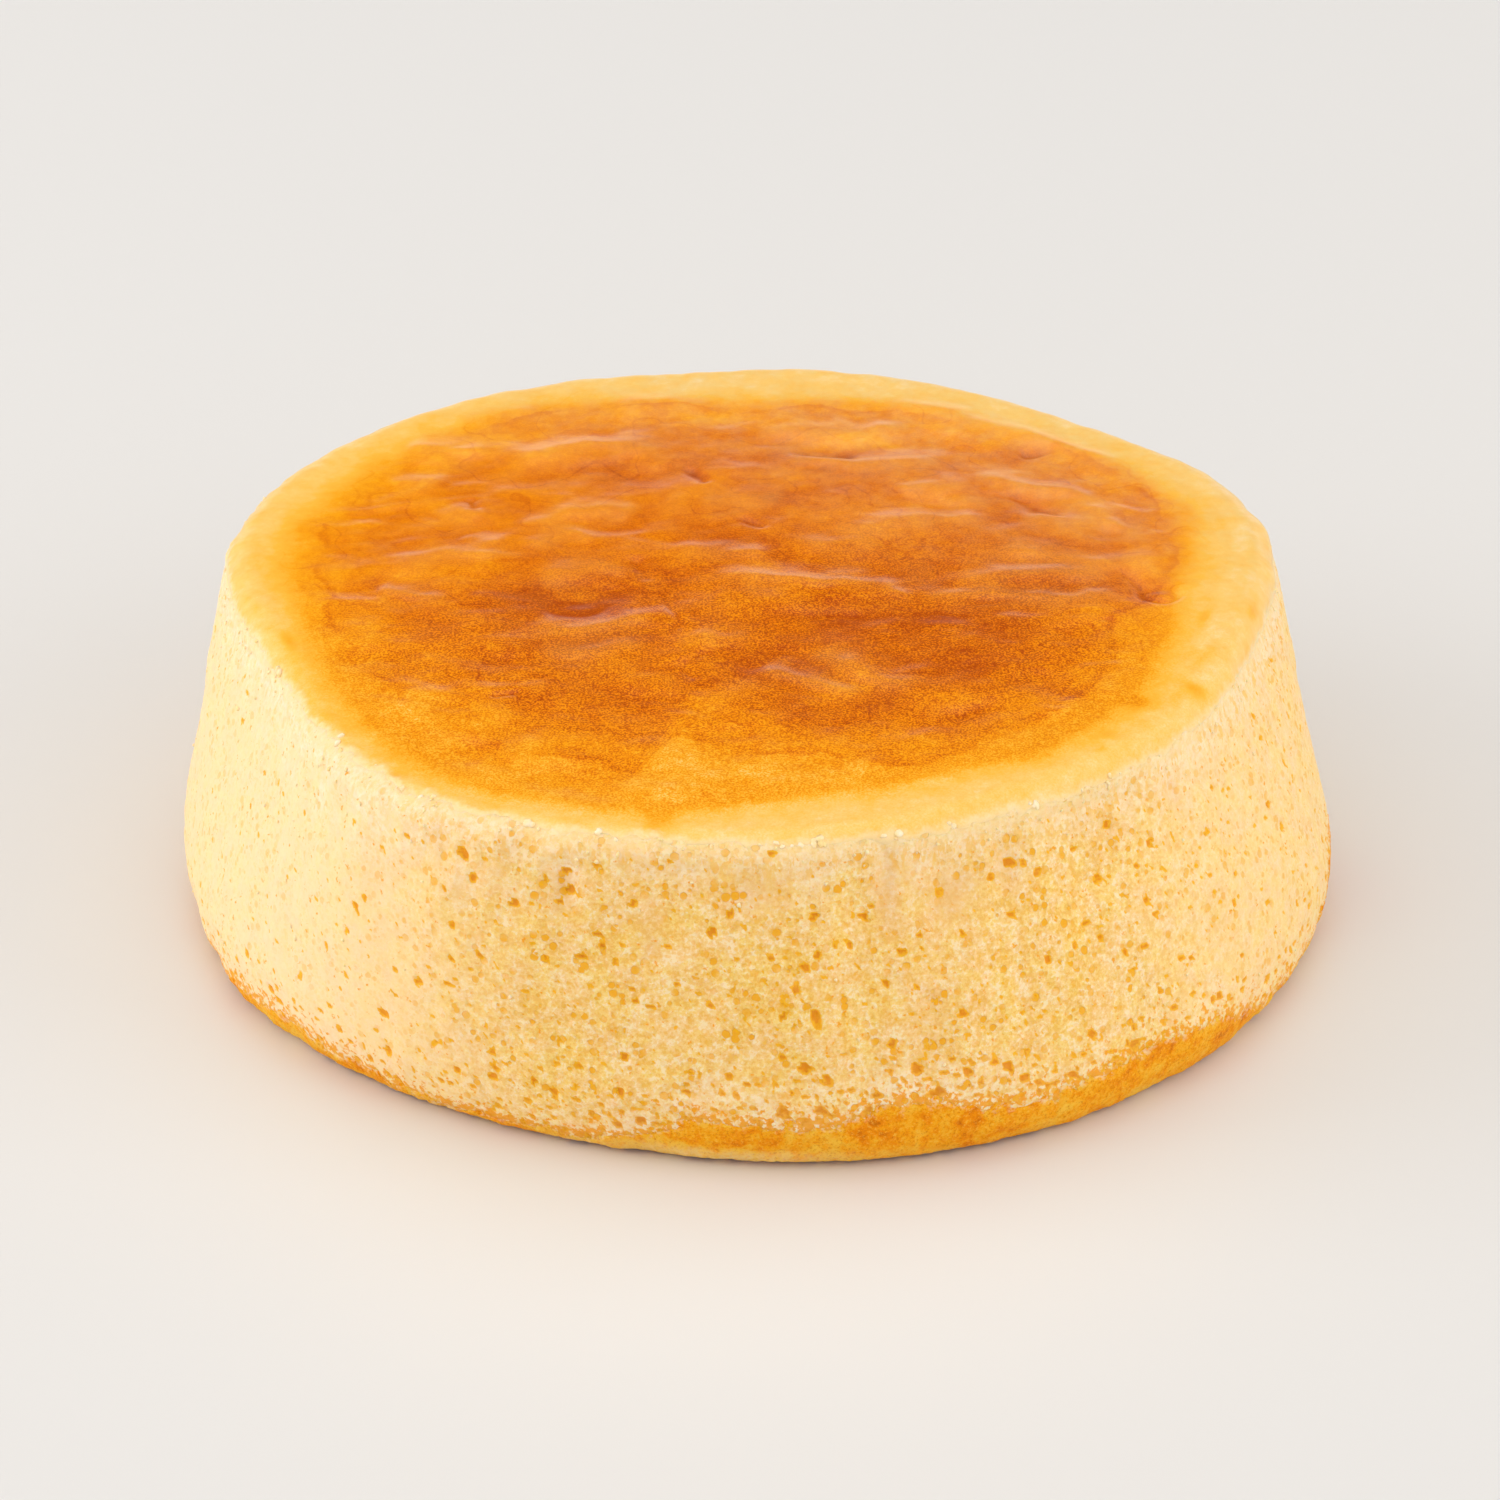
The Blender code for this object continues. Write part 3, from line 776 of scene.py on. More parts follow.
def skin_relief(spots, flat, inside):
    """Height of the skin in mm over the smooth top, its share of painted crest sheen and its
    relief for the painted shade and highlight of its tone.
    """
    zone = step_up(inside, -3.0, 8.0)
    bowed = flat[:, 1] * (1.0 + 0.6 * (flat[:, 0] / 75.0) ** 2)
    warp = 3.0 * noise(spots, 14.0 * MM, 41) + 1.6 * noise(spots, 6.0 * MM, 48)
    drawn = np.stack([flat[:, 0] / 1.45, bowed + warp, np.zeros(len(flat))], axis=-1)
    back = 0.75 + 0.25 * step_up(flat[:, 1], -25.0, 12.0)
    large = crests(drawn, 9.0, 42, 0.34)
    small = crests(drawn, 4.6, 43, 0.40)
    folds = 0.13 * large + 0.04 * small - 0.08
    swells = 0.34 * noise(drawn, 11.0, 49) + 0.14 * noise(drawn, 5.0, 46)
    pillows = 0.36 * noise(spots, 17.0 * MM, 44) + 0.27 * noise(spots, 8.0 * MM, 45)
    pillows += 0.11 * noise(spots, 4.0 * MM, 55) + 0.045 * noise(spots, 2.0 * MM, 57)
    bent = flat + np.stack([0.5 * warp, 0.35 * warp], axis=-1) - (0.0, 0.1)
    grown = [(path, RIDGE_WIDER * width, RIDGE_HIGHER * high) for path, width, high in RIDGES]
    ridges = line_relief(bent, grown)
    height = zone * (back * (folds + swells) + pillows)
    creases = line_relief(flat, CREASES)
    height += ridges - creases + patches(bent, SWELLS)
    calm = 1.0 - zone
    lumpy = step_up(flat[:, 0] + 0.5 * flat[:, 1], 25.0, 60.0)
    height += calm * 0.16 * rough_noise(spots, 12.0 * MM, 47, 2)
    height += calm * lumpy * 0.10 * rough_noise(spots, 4.5 * MM, 50, 2)
    # Share of painted sheen: crests and ridges are painted paler, where light gleams on them.
    crest_sheen = zone * back * (0.4 * large + 0.2 * small) + 1.2 * ridges
    # Relief that drives the painted shade in hollows and the painted highlight on raised parts.
    detail = zone * (folds + swells + pillows) + 0.8 * ridges - 1.6 * creases
    detail += 0.5 * patches(bent, SWELLS)
    return height, np.clip(crest_sheen, 0.0, 1.2), detail


# How far down from the flat top the skin reaches: heading, length in mm.
TORN_EDGE = (
    (-180, 6.4), (-165, 5.6), (-152, 4.4), (-145, 3.2), (-140, 2.3), (-135, 1.8),
    (-128, 2.0), (-120, 2.6), (-110, 3.0), (-100, 3.5), (-85, 4.6),
    (-70, 5.4), (-50, 6.2), (-30, 6.8), (-10, 8.2), (15, 8.6), (60, 7.2), (120, 6.5),
    (180, 6.0),
)


def skin_end(spots, heading):
    """Length down the section at which the skin is torn off, in metres."""
    wander = 0.8 * noise(spots, 7.0 * MM, 51) + 0.8 * rough_noise(spots, 2.6 * MM, 52, 2)
    return (round_table(heading, TORN_EDGE) + wander) * MM


def square_grid(half):
    """Ring number and heading of every point of a square grid drawn out to a disc."""
    i, j = np.meshgrid(np.arange(-half, half + 1), np.arange(-half, half + 1), indexing="ij")
    ring = np.maximum(np.abs(i), np.abs(j))
    safe = np.maximum(ring, 1)
    quarter = 0.25 * math.pi
    heading = np.where(i == ring, quarter * j / safe, math.pi - quarter * j / safe)
    heading = np.where((j == ring) & (np.abs(i) < ring), quarter * (2.0 - i / safe), heading)
    heading = np.where((j == -ring) & (np.abs(i) < ring), quarter * (i / safe - 2.0), heading)
    return ring, (heading + math.pi) % (2.0 * math.pi) - math.pi


def square_faces(side):
    """Quads of a square grid of points, facing up."""
    row, column = np.meshgrid(np.arange(side - 1), np.arange(side - 1), indexing="ij")
    corners = [row * side + column, (row + 1) * side + column]
    corners += [(row + 1) * side + column + 1, row * side + column + 1]
    return np.stack(corners, axis=-1).reshape(-1, 4)


def border_loop(side):
    """Indices round the border of a square grid, clockwise from above."""
    index = np.arange(side * side).reshape(side, side)
    loop = [index[0, :-1], index[:-1, -1], index[-1, :0:-1], index[:0:-1, 0]]
    return np.concatenate(loop)


SKIN_END = 12.5 * MM


def skin_normals(smooth, length, heading, radius, level):
    """Outward normals of the smooth cap, straight up at its very middle."""
    next_radius, next_level = along_profile(length + 0.1 * MM)
    down = place(next_radius, heading, next_level)
    around = place(radius, heading + 0.002, level)
    normals = np.cross((down - smooth).reshape(-1, 3), (around - smooth).reshape(-1, 3))
    sizes = np.linalg.norm(normals, axis=1, keepdims=True)
    return np.where(sizes > 1e-14, normals / np.maximum(sizes, 1e-14), (0.0, 0.0, 1.0))


def skin_lift(spots, length, beyond, height):
    """How far the skin stands off the form, in metres: relief, rolled rim, hem and lumps."""
    roll = np.exp(-((length - 1.5 * MM) / (4.0 * MM)) ** 2)
    rim = roll * (0.24 * rough_noise(spots, 9.0 * MM, 53, 3) + 0.10)
    lumps = np.exp(-((beyond + 0.6 * MM) / (1.8 * MM)) ** 2) * rough_noise(spots, 2.6 * MM, 54, 3)
    hem = 0.26 * lumps - 0.10 - 1.1 * step_up(beyond, -0.4 * MM, 1.4 * MM)
    lift = (height * step_up(-length, 0.0, 9.0 * MM) + rim + hem) * MM
    return lift + soft_lumps(spots) * step_up(length, 0.0, 4.0 * MM)


def skin_mesh(moved, fields, side):
    """Make the cap's mesh, closed below, with its map laid out as a square."""
    faces = square_faces(side).tolist()
    faces.append(border_loop(side).tolist())
    i, j = np.divmod(square_faces(side), side)
    maps = (np.stack([i, j], axis=-1).reshape(-1, 2) + 3.0) / (side + 5.0)
    maps = np.concatenate([maps, fan_map(len(faces[-1]), (0.004, 0.004), 0.003)])
    return make_mesh("top_skin", moved, faces, fields, maps)


def top_skin():
    """The browned top: a thick cap whose torn hem dips under the side's surface."""
    half = SKIN_RINGS + SKIN_HEM_RINGS
    ring, heading = square_grid(half)
    step = (TOP_FLAT + SKIN_END) / SKIN_RINGS
    length = np.minimum(ring * step, TOP_FLAT + SKIN_END) - TOP_FLAT
    radius, level = along_profile(length)
    smooth = place(radius, heading, level)
    normals = skin_normals(smooth, length, heading, radius, level)
    spots = smooth.reshape(-1, 3)
    length = length.ravel()
    flat = spots[:, :2] / MM
    inside = skin_zone(spots, flat, length, AMBER_EDGE, 0.8)
    browned = skin_zone(spots, flat, length, BROWN_EDGE, 1.2)
    height, crest_sheen, detail = skin_relief(spots, flat, inside)
    beyond = length - skin_end(spots, heading.ravel())
    moved = spots + normals * skin_lift(spots, length, beyond, height)[:, None]
    tuck = np.clip(ring.ravel() - SKIN_RINGS, 0, None)[:, None]
    moved -= normals * tuck * 1.2 * MM
    away = 0.25 * np.abs(flat[:, 0] - 15.0) + 0.5 * np.clip(flat[:, 0] - 40.0, 0.0, None)
    fields = {
        "tone": skin_tone(spots, flat, length, inside, browned, detail),
        "inside": inside,
        "browned": browned,
        "crisp": 1.05 - 0.85 * step_up(flat[:, 1] + away, -12.0, 38.0),
        "crest_sheen": crest_sheen,
        "hem": step_up(beyond, -3.6 * MM, 0.4 * MM),
        # Painted sheen: where a greyish glaze covers the back of the top, where light gleams at a
        # low angle.
        "back_sheen": step_up(flat[:, 1] + 0.5 * flat[:, 0], 5.0, 70.0),
        "vein": noise(spots, 15.0 * MM, 61) + 0.35 * noise(spots, 6.0 * MM, 62),
    }
    return skin_mesh(moved, fields, 2 * half + 1)


# ---------------------------------------------------------------- foot crust

# Level that the golden crust reaches round the foot: heading, level in mm.
CRUST_EDGE = (
    (-180, 3.0), (-160, 3.2), (-152, 5.4), (-144, 6.2), (-137, 4.8), (-129, 3.8), (-118, 3.2),
    (-108, 3.4), (-101, 5.8), (-95, 10.4), (-89, 9.4), (-82, 9.4), (-77, 12.4), (-73, 12.8),
    (-70, 10.2), (-60, 8.2), (-54, 10.2), (-45, 11.0), (-40, 9.6), (-33, 6.0), (-26, 3.6),
    (-12, 3.4), (-8, 9.5), (-3, 14.0), (3, 13.0), (7, 6.5), (12, 3.2), (40, 3.4), (50, 9.0),
    (60, 12.0), (74, 10.0), (90, 8.5), (100, 4.0), (120, 3.4), (130, 6.0), (145, 6.5),
    (155, 3.6), (180, 3.0),
)


def crust_top(heading):
    """Level that the golden crust reaches round the foot, in metres."""
    return round_table(heading, CRUST_EDGE) * MM


def crust_cover(spots, heading, level):
    """How far below the crust's ragged upper edge points lie, in metres."""
    wander = 0.7 * noise(spots, 6.0 * MM, 71) + 1.6 * rough_noise(spots, 3.0 * MM, 72, 3)
    return crust_top(heading) - level + wander * MM


def crust_fields(spots, heading, level):
    """How far the crust stands off the form, and how deep, lacy and creamy its colour is, with a
    dark band at its foot that is partly browned base and partly painted contact shadow.
    """
    under = crust_cover(spots, heading, level)
    lift = -1.5 + 1.62 * step_up(under, -0.9 * MM, 0.9 * MM)
    grain = 0.17 * rough_noise(spots, 1.3 * MM, 75, 2) + 0.10 * noise(spots, 5.0 * MM, 78)
    standing = step_up(level, 0.0, 2.0 * MM)
    tone = 0.42 + 0.35 * noise(spots, 11.0 * MM, 79) + 0.25 * noise(spots, 3.0 * MM, 80)
    pale = np.exp(-((np.degrees(heading) + 94.0) / 11.0) ** 2)
    tone -= (0.15 + 0.45 * pale) * step_up(-level, -5.5 * MM, -2.5 * MM)
    lacy = step_up(-under, -3.0 * MM, 0.2 * MM)
    ragged = level + 0.5 * MM * rough_noise(spots, 1.8 * MM, 84, 2)
    cream = 0.8 * step_up(-ragged, -1.5 * MM, -0.7 * MM)
    cream = np.maximum(cream, 0.7 * pale * step_up(-ragged, -4.5 * MM, -2.2 * MM))
    # The lowest edge is painted dark brown: partly the browned base, partly painted contact
    # shadow against the floor.
    browned_foot_and_shadow = step_up(-ragged, -0.75 * MM, -0.45 * MM)
    cream = cream * (1.0 - browned_foot_and_shadow)
    tone = tone + 1.2 * browned_foot_and_shadow
    return soft_lumps(spots) * standing + (lift + grain * standing) * MM, tone, lacy, cream


def undercut(spots, level):
    """How far the crust's torn lower edge draws in over the last of its height."""
    edge = 1.3 + 0.45 * rough_noise(spots, 2.6 * MM, 82, 3)
    return 0.9 * MM * np.clip((edge - level / MM) / 1.3, 0.0, 1.2) ** 0.8


def base_map():
    """Lay the base out as a disc."""
    row, column = np.meshgrid(np.arange(BASE_ROWS), np.arange(AROUND), indexing="ij")
    corners = []
    for down, over in ((0, 0), (1, 0), (1, 1), (0, 1)):
        reach = 0.35 * (1.0 - 0.97 * (row + down) / BASE_ROWS)
        turn = (column + over) / AROUND * 2.0 * math.pi
        corners.append(np.stack([0.36 + reach * np.cos(turn), 0.36 + reach * np.sin(turn)], -1))
    return np.stack(corners, axis=-2).reshape(-1, 2)


def foot_crust():
    """The golden crust round the foot and all over the base, closed inside the cake."""
    start = SIDE_LENGTH - 34.0 * MM
    share = np.linspace(0.0, 1.0, CRUST_ROWS) ** 0.75
    length = (start + (SIDE_LENGTH - start) * share)[:, None]
    radius, level = along_profile(length)
    heading, level = np.broadcast_arrays(headings_round(), level)
    smooth = place(radius, heading, level)
    lift, tone, lacy, cream = crust_fields(smooth, heading, level)
    spots = smooth + grid_normals(smooth) * lift[..., None]
    drawn_in = undercut(smooth, level) / np.hypot(spots[..., 0], spots[..., 1])
    spots[..., :2] *= (1.0 - drawn_in)[..., None]
    spots[..., 2] = np.maximum(spots[..., 2], 0.0)
    spots[-1, :, 2] = 0.0
    share = np.linspace(1.0, 0.01, BASE_ROWS + 1)[1:, None]
    base = spots[-1][None] * np.stack([share, share, np.zeros_like(share)], axis=-1)
    rows = np.concatenate([spots, base])
    plain = np.zeros(base.shape[:2])
    fields = {
        "tone": np.concatenate([tone, 0.45 + 0.3 * noise(base, 9.0 * MM, 79)]).ravel(),
        "lacy": np.concatenate([lacy, plain]).ravel(),
        "cream": np.concatenate([cream, plain]).ravel(),
    }
    count = rows.shape[0] * AROUND
    faces = band_faces(rows.shape[0], AROUND).tolist()
    faces.append(list(range(AROUND)))
    faces.append(list(range(count - 1, count - AROUND - 1, -1)))
    maps = [strip_map(CRUST_ROWS, AROUND, 0.72, 1.0), base_map()]
    maps += [fan_map(AROUND, (0.85, 0.3), 0.05), fan_map(AROUND, (0.36, 0.36), 0.01)]
    return make_mesh("foot_crust", rows.reshape(-1, 3), faces, fields, np.concatenate(maps))


# ---------------------------------------------------------------- flecks and beads

def surface_of(piece):
    """Points and normals of a mesh, in metres."""
    count = len(piece.data.vertices)
    spots = np.empty(count * 3)
    piece.data.vertices.foreach_get("co", spots)
    normals = np.empty(count * 3)
    piece.data.vertex_normals.foreach_get("vector", normals)
    return spots.reshape(-1, 3), normals.reshape(-1, 3)


def ball(rounds):
    """Points and triangles of a ball made of even triangles."""
    shape = bmesh.new()
    bmesh.ops.create_icosphere(shape, subdivisions=rounds, radius=1.0)
    shape.verts.index_update()
    points = np.array([vertex.co[:] for vertex in shape.verts])
    faces = np.array([[corner.index for corner in face.verts] for face in shape.faces])
    shape.free()
    return points, faces


def scatter(name, draws, spots, normals, sizes, flatness, roughness, rounds):
    """Join small rough lumps, half sunk into a surface, into one mesh."""
    points, faces = ball(rounds)
    lumps = []
    for spot, normal, size in zip(spots, normals, sizes):
        side = np.cross(normal, (0.0, 0.0, 1.0) if abs(normal[2]) < 0.9 else (1.0, 0.0, 0.0))
        side /= np.linalg.norm(side)
        turn = draws.uniform(0.0, 2.0 * math.pi)
        first = math.cos(turn) * side + math.sin(turn) * np.cross(normal, side)
        axes = np.stack([first, np.cross(normal, first), normal])
        stretch = np.array([draws.uniform(0.7, 1.3), draws.uniform(0.7, 1.0), flatness])
        swelling = 1.0 + roughness * noise(points + draws.uniform(0.0, 90.0, 3), 0.8, 5)
        lumps.append(spot + size * (points * swelling[:, None] * stretch @ axes))
    starts = np.arange(len(lumps))[:, None, None] * len(points)
    mesh = bpy.data.meshes.new(name)
    mesh.from_pydata(np.concatenate(lumps).tolist(), [], (faces + starts).reshape(-1, 3).tolist())
    mesh.shade_smooth()
    piece = bpy.data.objects.new(name, mesh)
    bpy.context.scene.collection.objects.link(piece)
    return piece


def chosen(draws, weights, count):
    """Pick vertices at random, by weight."""
    return draws.choice(len(weights), count, replace=False, p=weights / weights.sum())


def read_field(piece, field):
    """Read a point attribute of a piece."""
    values = np.empty(len(piece.data.vertices), dtype=np.float32)
    piece.data.attributes[field].data.foreach_get("value", values)
    return values.astype(float)


def wet_beads(skin):
    """Wet, glossy beads along the torn hem of the skin, denser at the front."""
    draws = np.random.default_rng(21)
    spots, normals = surface_of(skin)
    hem = read_field(skin, "hem")
    heading = np.arctan2(spots[:, 1], spots[:, 0])
    outside = spots[:, 2] > CAKE_HEIGHT - 9.0 * MM
    along = np.exp(-((hem - 0.80) / 0.16) ** 2) * outside * (hem > 0.3)
    clumps = step_up(noise(spots, 7.0 * MM, 66), -0.1, 0.5)
    front = 0.35 + 0.65 * step_up(-np.sin(heading), -0.3, 0.6)
    picked = chosen(draws, along * clumps * front + 1e-12, BEADS)
    sizes = draws.uniform(0.25, 0.80, len(picked)) * MM
    return scatter("wet_beads", draws, spots[picked], normals[picked], sizes, 0.6, 0.5, 2)


def sponge_flecks(body):
    """Flecks of foam on the sponge, denser by the fluffy rim and over the crust."""
    draws = np.random.default_rng(22)
    spots, normals = surface_of(body)
    fluff = read_field(body, "fluff")
    web = read_field(body, "web")
    pore = read_field(body, "pore")
    shown = (normals[:, 2] > -0.5) & (spots[:, 2] > 2.0 * MM) & (pore < 0.2)
    weights = (0.05 + fluff ** 2 + 0.5 * web) * shown
    picked = chosen(draws, weights, FLECKS)
    sizes = draws.uniform(0.15, 0.45, len(picked)) * MM
    return scatter("sponge_flecks", draws, spots[picked], normals[picked], sizes, 0.8, 0.8, 1)


# ---------------------------------------------------------------- materials

# How far light runs inside, in red, green and blue, and how strongly wet food bends it.
FOAM_GLOW = (1.0, 0.45, 0.12)
CRUST_GLOW = (1.0, 0.35, 0.08)
FOOD_IOR = 1.4


def add_node(tree, kind, inputs, **settings):
    """Add a node, set it up and feed its inputs with values or other nodes' outputs."""
    made = tree.nodes.new(kind)
    for setting, value in settings.items():
        setattr(made, setting, value)
    for socket, value in inputs.items():
        if isinstance(value, bpy.types.NodeSocket):
            tree.links.new(value, made.inputs[socket])
        else:
            made.inputs[socket].default_value = value
    return made


def attribute(tree, name):
    """Read a point attribute of the mesh."""
    return add_node(tree, "ShaderNodeAttribute", {}, attribute_name=name).outputs["Fac"]


def calc(tree, operation, first, second, clamp=False):
    """Work out one sum."""
    made = add_node(tree, "ShaderNodeMath", {0: first, 1: second}, operation=operation)
    made.use_clamp = clamp
    return made.outputs[0]


def times(tree, first, second):
    """Multiply two values."""
    return calc(tree, "MULTIPLY", first, second)


def plus(tree, first, second):
    """Add two values."""
    return calc(tree, "ADD", first, second)


def minus(tree, first, second):
    """Take the second value from the first."""
    return calc(tree, "SUBTRACT", first, second)


def graded(tree, value, low, high, start=0.0, end=1.0):
    """Carry a value smoothly from one span to another."""
    inputs = {"Value": value, "From Min": low, "From Max": high, "To Min": start, "To Max": end}
    made = add_node(tree, "ShaderNodeMapRange", inputs, interpolation_type="SMOOTHSTEP")
    return made.outputs["Result"]


def grains(tree, size, detail=2.0, roughness=0.5, stretch=(1.0, 1.0, 1.0), offset=0.0):
    """Cloudy texture in the cake's own space, with bumps of a size in metres."""
    where = add_node(tree, "ShaderNodeTexCoord", {}).outputs["Object"]
    inputs = {"Vector": where, "Scale": stretch, "Location": (offset, offset, offset)}
    moved = add_node(tree, "ShaderNodeMapping", inputs).outputs["Vector"]
    inputs = {"Vector": moved, "Scale": 1.0 / size, "Detail": detail, "Roughness": roughness}
    return add_node(tree, "ShaderNodeTexNoise", inputs).outputs["Fac"]


def dots(tree, size, share, small, large, ragged=0.15):
    """Scattered round dots: 1 inside, 0 outside; sizes are shares of the cell size."""
    where = add_node(tree, "ShaderNodeTexCoord", {}).outputs["Object"]
    inputs = {"Vector": where, "Scale": 1.0 / size, "Randomness": 1.0}
    cell = add_node(tree, "ShaderNodeTexVoronoi", inputs)
    chance = add_node(tree, "ShaderNodeSeparateColor", {"Color": cell.outputs["Color"]})
    reach = graded(tree, chance.outputs["Red"], 0.0, 1.0, small, large)
    bent = minus(tree, grains(tree, 0.35 * size, 1.0, 0.5), 0.5)
    away = plus(tree, cell.outputs["Distance"], times(tree, bent, 2.0 * ragged))
    inside = minus(tree, reach, away)
    picked = calc(tree, "LESS_THAN", chance.outputs["Green"], share)
    return times(tree, graded(tree, inside, -0.05, 0.07), picked)


def blend(tree, share, first, second):
    """Mix two colours."""
    made = tree.nodes.new("ShaderNodeMix")
    made.data_type = "RGBA"
    made.blend_type = "MIX"
    for index, value in ((0, share), (6, first), (7, second)):
        if isinstance(value, bpy.types.NodeSocket):
            tree.links.new(value, made.inputs[index])
        elif index:
            made.inputs[index].default_value = (*value, 1.0)
        else:
            made.inputs[index].default_value = value
    return made.outputs[2]


def paint(tree, colour, share, strength, over):
    """Lay a colour over another by a share, at a strength."""
    return blend(tree, times(tree, share, strength), colour, over)


def ramp(tree, value, stops):
    """Turn a value into a colour along a row of stops."""
    made = add_node(tree, "ShaderNodeValToRGB", {"Fac": value})
    marks = made.color_ramp.elements
    while len(marks) < len(stops):
        marks.new(0.5)
    for mark, (position, colour) in zip(marks, stops):
        mark.position = position
        mark.color = (*colour, 1.0)
    return made.outputs["Color"]


def bumps(tree, height, distance, strength):
    """Raise fine relief; distance is in metres."""
    inputs = {"Height": height, "Distance": distance, "Strength": strength}
    return add_node(tree, "ShaderNodeBump", inputs).outputs["Normal"]


def new_material(name):
    """Make an empty material with its surface shader."""
    material = bpy.data.materials.new(name)
    material.use_nodes = True
    surface = material.node_tree.nodes["Principled BSDF"]
    return material, material.node_tree, surface


def feed(tree, surface, **inputs):
    """Set the surface shader's sockets, by their names with _ for a space."""
    for name, value in inputs.items():
        socket = surface.inputs[name.replace("_", " ")]
        if isinstance(value, bpy.types.NodeSocket):
            tree.links.new(value, socket)
        else:
            socket.default_value = value


def foam_colour(tree, pale, mottle):
    """Yellow foam mottled darker and lighter, calmer where it is fluffy or on the lit left and
    right sides, with painted shade in the side's hollows and painted light on the left and right
    sides.
    """
    clouds = grains(tree, 5.0 * MM, 4.0, 0.7)
    colour = blend(tree, graded(tree, clouds, 0.38, 0.62), (0.97, 0.66, 0.20), (0.95, 0.63, 0.27))
    calm = graded(tree, attribute(tree, "fluff"), 0.0, 1.0, 1.0, 0.55)
    lively = times(tree, graded(tree, pale, 0.0, 1.0, 1.0, 0.2), calm)
    dim = times(tree, graded(tree, mottle, 0.50, 0.34, 0.0, 0.75), lively)
    colour = blend(tree, dim, colour, (0.88, 0.48, 0.08))
    light = times(tree, graded(tree, mottle, 0.52, 0.68, 0.0, 0.80), lively)
    colour = blend(tree, light, colour, (1.0, 0.79, 0.50))
    # Painted shade: darker tan in the side's grooves and hollows.
    colour = paint(tree, colour, attribute(tree, "hollow_shade"), 0.50, (0.84, 0.50, 0.22))
    # Painted light: the left and right sides, where the lamps fall, are painted paler.
    return paint(tree, colour, pale, 0.5, (1.0, 0.75, 0.47))


def laced(tree, colour, pale):
    """Lay whitish lace, and tan patches in the fluffy rim, over the foam."""
    lace = graded(tree, grains(tree, 1.0 * MM, 3.0, 0.65, offset=0.5), 0.42, 0.60)
    whitish = calc(tree, "ADD", attribute(tree, "web"), attribute(tree, "fluff"), True)
    whitish = times(tree, whitish, graded(tree, lace, 0.0, 1.0, 0.35, 0.95))
    colour = blend(tree, whitish, colour, (1.0, 0.81, 0.58))
    tan = graded(tree, grains(tree, 3.2 * MM, 3.0, 0.55, offset=0.25), 0.56, 0.42)
    tan = times(tree, tan, times(tree, attribute(tree, "fluff"), 0.45))
    tan = times(tree, tan, graded(tree, pale, 0.0, 1.0, 1.0, 0.2))
    return blend(tree, tan, colour, (0.88, 0.55, 0.22))


def pitted(tree, colour, pale):
    """Lay tiny pits and small holes over the foam, and say where they sink."""
    lively = graded(tree, grains(tree, 6.0 * MM, 2.0, 0.6, offset=0.7), 0.36, 0.60, 0.25, 1.0)
    lively = times(tree, lively, graded(tree, pale, 0.0, 1.0, 1.0, 0.35))
    tiny = times(tree, dots(tree, 0.7 * MM, 0.6, 0.35, 0.62), lively)
    colour = paint(tree, colour, tiny, 0.45, (0.92, 0.50, 0.05))
    holes = times(tree, dots(tree, 1.5 * MM, 0.55, 0.18, 0.48, 0.10), lively)
    colour = paint(tree, colour, holes, 0.95, (0.90, 0.42, 0.015))
    return colour, calc(tree, "MAXIMUM", times(tree, tiny, 0.5), holes)


def edged(tree, colour):
    """Lay the amber network over the crust and the golden gaps under the torn hem."""
    network = times(tree, attribute(tree, "soak"), 0.22)
    network = plus(tree, network, grains(tree, 1.1 * MM, 3.0, 0.6, offset=0.35))
    colour = blend(tree, graded(tree, network, 0.64, 0.72, 0.0, 0.9), colour, (0.92, 0.36, 0.008))
    upright = grains(tree, 1.2 * MM, 3.0, 0.6, (1.0, 1.0, 0.4), 0.75)
    gaps = times(tree, graded(tree, upright, 0.53, 0.60), attribute(tree, "torn"))
    colour = paint(tree, colour, gaps, 0.75, (0.94, 0.54, 0.11))
    return paint(tree, colour, attribute(tree, "golden"), 0.55, (0.99, 0.70, 0.33))


def pored(tree, colour):
    """Lay the frayed amber pores over the foam, with painted shade darkening them towards their
    middles.
    """
    fray = minus(tree, grains(tree, 0.65 * MM, 3.0, 0.65, offset=0.6), 0.5)
    ragged = plus(tree, attribute(tree, "pore"), times(tree, fray, 0.9))
    web = attribute(tree, "web")
    wall = blend(tree, web, (0.95, 0.47, 0.012), (0.93, 0.45, 0.06))
    # Painted shade: the pores' middles are coloured darker than their amber walls.
    deep = blend(tree, web, (0.84, 0.30, 0.002), (0.80, 0.31, 0.02))
    deep = blend(tree, graded(tree, ragged, 0.50, 0.95), wall, deep)
    return paint(tree, colour, graded(tree, ragged, 0.27, 0.43), 0.94, deep)


